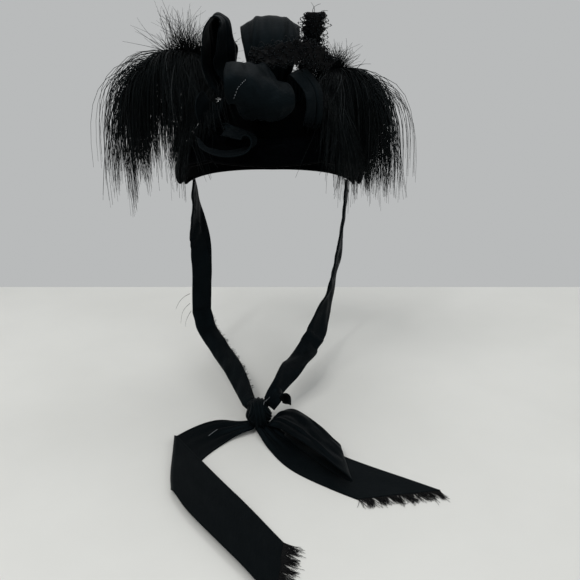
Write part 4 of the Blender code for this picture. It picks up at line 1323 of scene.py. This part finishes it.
def barb_paths(rows, side, place, swing, length, draw, spread, fall, wave,
               powers=(SPREAD_POWER, FALL_POWER)):
    """Paths of barbs: each goes out from the quill, over, and down under its own weight."""
    fine = ease(rows, 201)
    start = fine[np.clip((place * 200).astype(int), 0, 200)]
    turn = np.radians(swing)
    outward = np.stack([side * np.cos(turn), -np.sin(turn), 0 * turn], -1)
    aside = np.stack([-outward[:, 1], outward[:, 0], 0 * turn], -1)
    t = np.linspace(0, 1, BARB_POINTS)[None, :]
    reach = LOCK_SPREAD * spread[:, None] * (1 - (1 - t) ** powers[0])
    drop = LOCK_RISE * np.sin(math.pi * t) - LOCK_FALL * fall[:, None] * t ** powers[1]
    path = start[:, None] + outward[:, None] * (reach * length[:, None])[..., None]
    path[..., 2] += drop * length[:, None]
    phase = draw.uniform(0, 2 * math.pi, (len(place), 1))
    bend = np.sin(t * draw.uniform(2.5, 6.5, (len(place), 1)) + phase) - np.sin(phase)
    path += aside[:, None] * (wave[:, None] * bend * t ** 0.7)[..., None]
    return path


def lock_barbs(rows, side, draw, locks, margins, powers):
    """Barbs in locks: each lock draws its barbs together at their tips."""
    places, swings, lengths, spreads, falls = locks
    locks, each = len(places), BARBS_IN_LOCK
    wave = draw.uniform(1.0, 6.5, locks)
    hearts = barb_paths(rows, side, places, swings, lengths, draw, spreads, falls, wave, powers)
    at = np.repeat(np.arange(locks), each)
    count = len(at)
    place = np.clip(places[at] + draw.normal(0, 0.016, count), 0.05, 1.0)
    swing = swings[at] + draw.normal(0, 13.0, count)
    length = lengths[at] * draw.uniform(0.60, 1.05, count)
    spread = np.clip(spreads[at] + draw.normal(0, 0.10, count), 0.05, 2.2)
    fall = falls[at] * draw.uniform(0.88, 1.06, count)
    paths = barb_paths(rows, side, place, swing, length, draw, spread, fall,
                       draw.uniform(0.4, 2.4, count), powers)
    t = np.linspace(0, 1, BARB_POINTS)[None, :, None]
    pull = draw.uniform(0.45, 0.92, locks)[at][:, None, None]
    share = (length / lengths[at])[:, None, None]
    guide = hearts[at] * share + hearts[at][:, :1] * (1 - share)
    paths = paths + (guide - paths) * pull * t ** 0.8
    curl = draw.normal(0, 1, (locks, 1, 3)) * [1.0, 1.0, 0.6] * draw.uniform(2, 12, (locks, 1, 1))
    paths = paths + curl[at] * t ** 1.9
    stray = draw.uniform(0, 1, count) < 0.07
    paths = paths + stray[:, None, None] * draw.normal(0, 5.0, (count, 1, 3)) * t ** 2
    margin = CROWN_WALL + BAND_THICKNESS + draw.uniform(*margins, count)
    return keep_off(paths, margin[:, None]), at


def barb_tone(at, locks, draw):
    """A tone for each point of the barbs: dark locks, light locks, a few pale barbs as painted
    highlights, and a painted highlight band along each barb.
    """
    count = len(at)
    tone = draw.beta(1.6, 3.0, locks)[at] * 0.8 + draw.normal(0, 0.13, count)
    # a few barbs made pale: painted highlights on single strands
    tone = tone + 0.50 * (draw.uniform(0, 1, count) < 0.15)
    along = np.linspace(0, 1, BARB_POINTS)[None]
    # a brighter band at a random place along each barb: a painted highlight
    middle = draw.uniform(0.25, 0.95, (count, 1))
    painted_highlight_band = 0.28 * np.exp(-((along - middle) / 0.22) ** 2) - 0.10
    return np.clip(tone[:, None] + painted_highlight_band, 0, 1)


def make_plume(name, side, turn, drop, share, inward, seed):
    """One plume: a quill that curls over, and thousands of barbs in soft locks."""
    draw = np.random.default_rng(seed)
    reach = PLUME_REACH * share
    foot = crown_point(side * turn, drop * CROWN_DEPTH, CROWN_WALL + SEAM_GAP + QUILL_WIDTH / 8)
    rows = np.array([foot + reach * np.array([side * out, -forward, up])
                     for out, forward, up in QUILL])
    made, at, first = [], [], 0
    for count, places, swings, lengths, spreads, falls, margins, powers in PLUME_LOCKS:
        place = draw.uniform(*places, count)
        widest = np.interp(place, (0.35, 1.0), (1.0, 0.40)) if swings[0] < 0 else 1.0
        swing = draw.uniform(*swings, count) * widest
        swing = np.where(swing > 90, 90 + (swing - 90) * inward, swing)
        locks = (place, swing,
                 LOCK_LENGTH * draw.uniform(*lengths, count), draw.uniform(*spreads, count),
                 draw.uniform(*falls, count))
        path, where = lock_barbs(rows, side, draw, locks, margins, powers)
        made.append(path)
        at.append(where + first)
        first += count
    paths, at = np.concatenate(made), np.concatenate(at)
    count = len(at)
    radii = draw.uniform(0.26, 0.48, count)[:, None] * np.linspace(1, 0.30, BARB_POINTS)[None]
    tone = barb_tone(at, first, draw)
    points, groups = tubes(paths, radii, 3, seed)
    make_piece("barbs_" + name, points, groups, FEATHER_FINISH, [name],
               tone=np.repeat(tone.ravel(), 3))
    return rows, draw


def make_quill(name, rows):
    """The plume's quill."""
    path = ease(rows, 30)[None]
    radii = np.linspace(2.4, 0.9, 30)[None]
    points, groups = tubes(path, radii, 10, 3)
    tone = np.full(len(points), 0.35)
    make_piece("quill_" + name, points, groups, FEATHER_FINISH, tone=tone)


def make_down(name, rows, side, draw, seed):
    """Short curled barbs along the quill's back, and a few long ones that arch outwards."""
    count = 1150
    place = draw.uniform(0.08, 0.95, count) ** 1.2
    start = ease(rows, 201)[(place * 200).astype(int)]
    way = unit(draw.normal(0, 1, (count, 3)) * [1.0, 0.9, 0.5] + [-side * 0.10, -0.15, 0.55])
    tuft = np.where(place < 0.5, 1.5, 0.9)
    length = draw.uniform(5, 15, count) * tuft
    length = length * np.where(draw.uniform(0, 1, count) < 0.08, 1.7, 1.0)
    t = np.linspace(0, 1, BARB_POINTS)[None, :, None]
    curl = unit(np.cross(way, draw.normal(0, 1, (count, 3))))[:, None]
    bend = draw.uniform(0.1, 0.8, count)[:, None, None]
    paths = start[:, None] + (way[:, None] * t + curl * bend * t ** 2) * length[:, None, None]
    paths[..., 2] -= (t[..., 0] ** 2) * length[:, None] * 0.30
    radii = draw.uniform(0.20, 0.36, count)[:, None] * np.linspace(1, 0.35, BARB_POINTS)[None]
    tall = draw.uniform(0, 1, count) < CREST_SHARE
    inward = draw.uniform(0, 1, count) < 0.36
    rise = np.where(inward, draw.uniform(14, 34, count),
                    draw.uniform(12, 38, count) * PLUME_CREST[name])
    fan = np.where(inward, draw.normal(-74, 20, count), draw.normal(6, 38, count))
    fan = np.radians(fan) * side
    back = np.where(inward, draw.normal(0.25, 0.30, count), draw.normal(-0.1, 0.35, count))
    swept = np.stack([np.sin(fan), back, np.cos(fan)], -1)
    begin = ease(rows, 201)[(draw.uniform(0.12, 0.66, count) * 200).astype(int)]
    hook = draw.normal(0, 1, (count, 1, 3)) * [1.0, 1.0, 0.5]
    crest = begin[:, None] + (swept[:, None] * t + 0.24 * hook * t ** 3) * rise[:, None, None]
    paths = np.where(tall[:, None, None], crest, paths)
    arcs = 34
    arc_place = draw.uniform(0.50, 1.0, arcs)
    arc_swing = draw.uniform(-28, 60, arcs)
    arc_length = LOCK_LENGTH * draw.uniform(0.86, 1.08, arcs)
    arc_paths = barb_paths(rows, side, arc_place, arc_swing, arc_length, draw,
                           draw.uniform(1.1, 1.45, arcs), draw.uniform(0.70, 1.0, arcs),
                           draw.uniform(0.5, 3.0, arcs))
    arc_radii = np.broadcast_to(np.linspace(0.32, 0.12, BARB_POINTS), (arcs, BARB_POINTS))
    all_paths = keep_off(np.concatenate([paths, arc_paths]), CROWN_WALL + 1.0)
    points, groups = tubes(all_paths, np.concatenate([radii, arc_radii]), 3, seed)
    tone = np.repeat(draw.uniform(0.1, 0.8, count + arcs), BARB_POINTS * 3)
    make_piece("down_" + name, points, groups, FEATHER_FINISH, tone=tone)


# The camera and the light, in metres and degrees
CAMERA_PLACE = (0.020, -0.620, 0.022)
CAMERA_TILT = 70
CAMERA_LENS = 38.98
CAMERA_SENSOR = 36.0
BACKDROP = (0.485, 0.495, 0.497, 1)
AIM = (0.0, -0.03, -0.08)
LIGHTS = (
    # name, place, size, power, colour
    ("key", (-0.7, -1.0, 1.6), 1.0, 15.0, (1.0, 0.99, 0.97)),
    ("fill", (0.9, -1.1, 0.9), 1.2, 5.0, (0.97, 0.99, 1.0)),
    ("top", (0.1, 0.5, 1.5), 0.9, 6.0, (1.0, 1.0, 1.0)),
    ("glint", (-0.5, -1.3, 1.2), 0.10, 2.6, (1.0, 1.0, 1.0)),
)


def make_stage():
    """The camera, a pale table top that ends behind the part, and soft light."""
    camera = bpy.data.objects.new("camera", bpy.data.cameras.new("camera"))
    camera.data.lens = CAMERA_LENS
    camera.data.sensor_width = CAMERA_SENSOR
    camera.location = CAMERA_PLACE
    camera.rotation_euler = (math.radians(CAMERA_TILT), 0, 0)
    SCENE.collection.objects.link(camera)
    SCENE.camera = camera
    SCENE.view_settings.view_transform = "Standard"

    mesh = bpy.data.meshes.new("table")
    front, back, side, top, thick = -2.5, 0.262, 2.5, -REST_DROP * MM, 0.03
    corners = [(x, y, z) for z in (top, top - thick) for y in (front, back) for x in (-side, side)]
    mesh.from_pydata(corners, [], [(0, 1, 3, 2), (4, 6, 7, 5), (0, 4, 5, 1), (2, 3, 7, 6),
                                   (0, 2, 6, 4), (1, 5, 7, 3)])
    mesh.materials.append(floor_material())
    table = bpy.data.objects.new("table", mesh)
    SCENE.collection.objects.link(table)
    bevel = table.modifiers.new("edge", "BEVEL")
    bevel.width = 0.004
    bevel.segments = 4

    world = bpy.data.worlds.new("studio")
    world.use_nodes = True
    SCENE.world = world
    world.node_tree.nodes["Background"].inputs["Color"].default_value = BACKDROP
    for name, place, size, power, colour in LIGHTS:
        light = bpy.data.lights.new(name, "AREA")
        light.size = size
        light.energy = power
        light.color = colour
        lamp = bpy.data.objects.new(name, light)
        lamp.location = place
        away = np.array(AIM) - np.array(place)
        lamp.rotation_euler = (math.acos(-away[2] / np.linalg.norm(away)), 0,
                               math.atan2(away[1], away[0]) - math.pi / 2)
        SCENE.collection.objects.link(lamp)


make_stage()
make_crown()
make_band()
bow_grids = make_bow()
make_laces()
ties = make_ties()
knot_pieces = make_knot()
make_knot_ear()
left_piece, left_grid, right_piece, right_grid = make_tails()
loop_piece, loop_grid = make_half_loop()
left_fringe = fringe_threads("fray_left", left_grid, "fringe_left", 81)
right_fringe = fringe_threads("fray_right", right_grid, "fringe_right", 82)
for plume_seed, (plume, *numbers) in enumerate(PLUMES):
    plume_rows, plume_draw = make_plume(plume, *numbers, 91 + plume_seed)
    make_quill(plume, plume_rows)
    make_down(plume, plume_rows, numbers[0], plume_draw, 95 + plume_seed)

puff_grid = bow_grids["bow_front_puff"]
make_stitches("puff_stitches_high", puff_grid, (0.510, 0.333), (0.542, 0.20), 5, 0.5, 0.6)
make_stitches("puff_stitches_low", puff_grid, (0.542, 0.20), (0.594, 0.10), 4, 0.5, 0.6)
make_stitches("tail_stitch", left_grid, (0.172, 0.50), (0.140, 0.43), 1, 1.0, 1.0)
make_hairs("forehead_barbs", FOREHEAD_BARBS, 0.30, FEATHER_FINISH, 51)
make_hairs("spray_curl", SPRAY_CURL, 0.30, BLACK_THREAD, 52)
make_hairs("tie_threads", TIE_THREADS, 0.24, BLACK_THREAD, 53)
make_hairs("knot_thread", KNOT_THREAD, 0.22, PALE_THREAD, 54)
make_edge_fray("tie_left_fray", ties["tie_left"][1], 0, 0.50, 0.95, 130, 55)
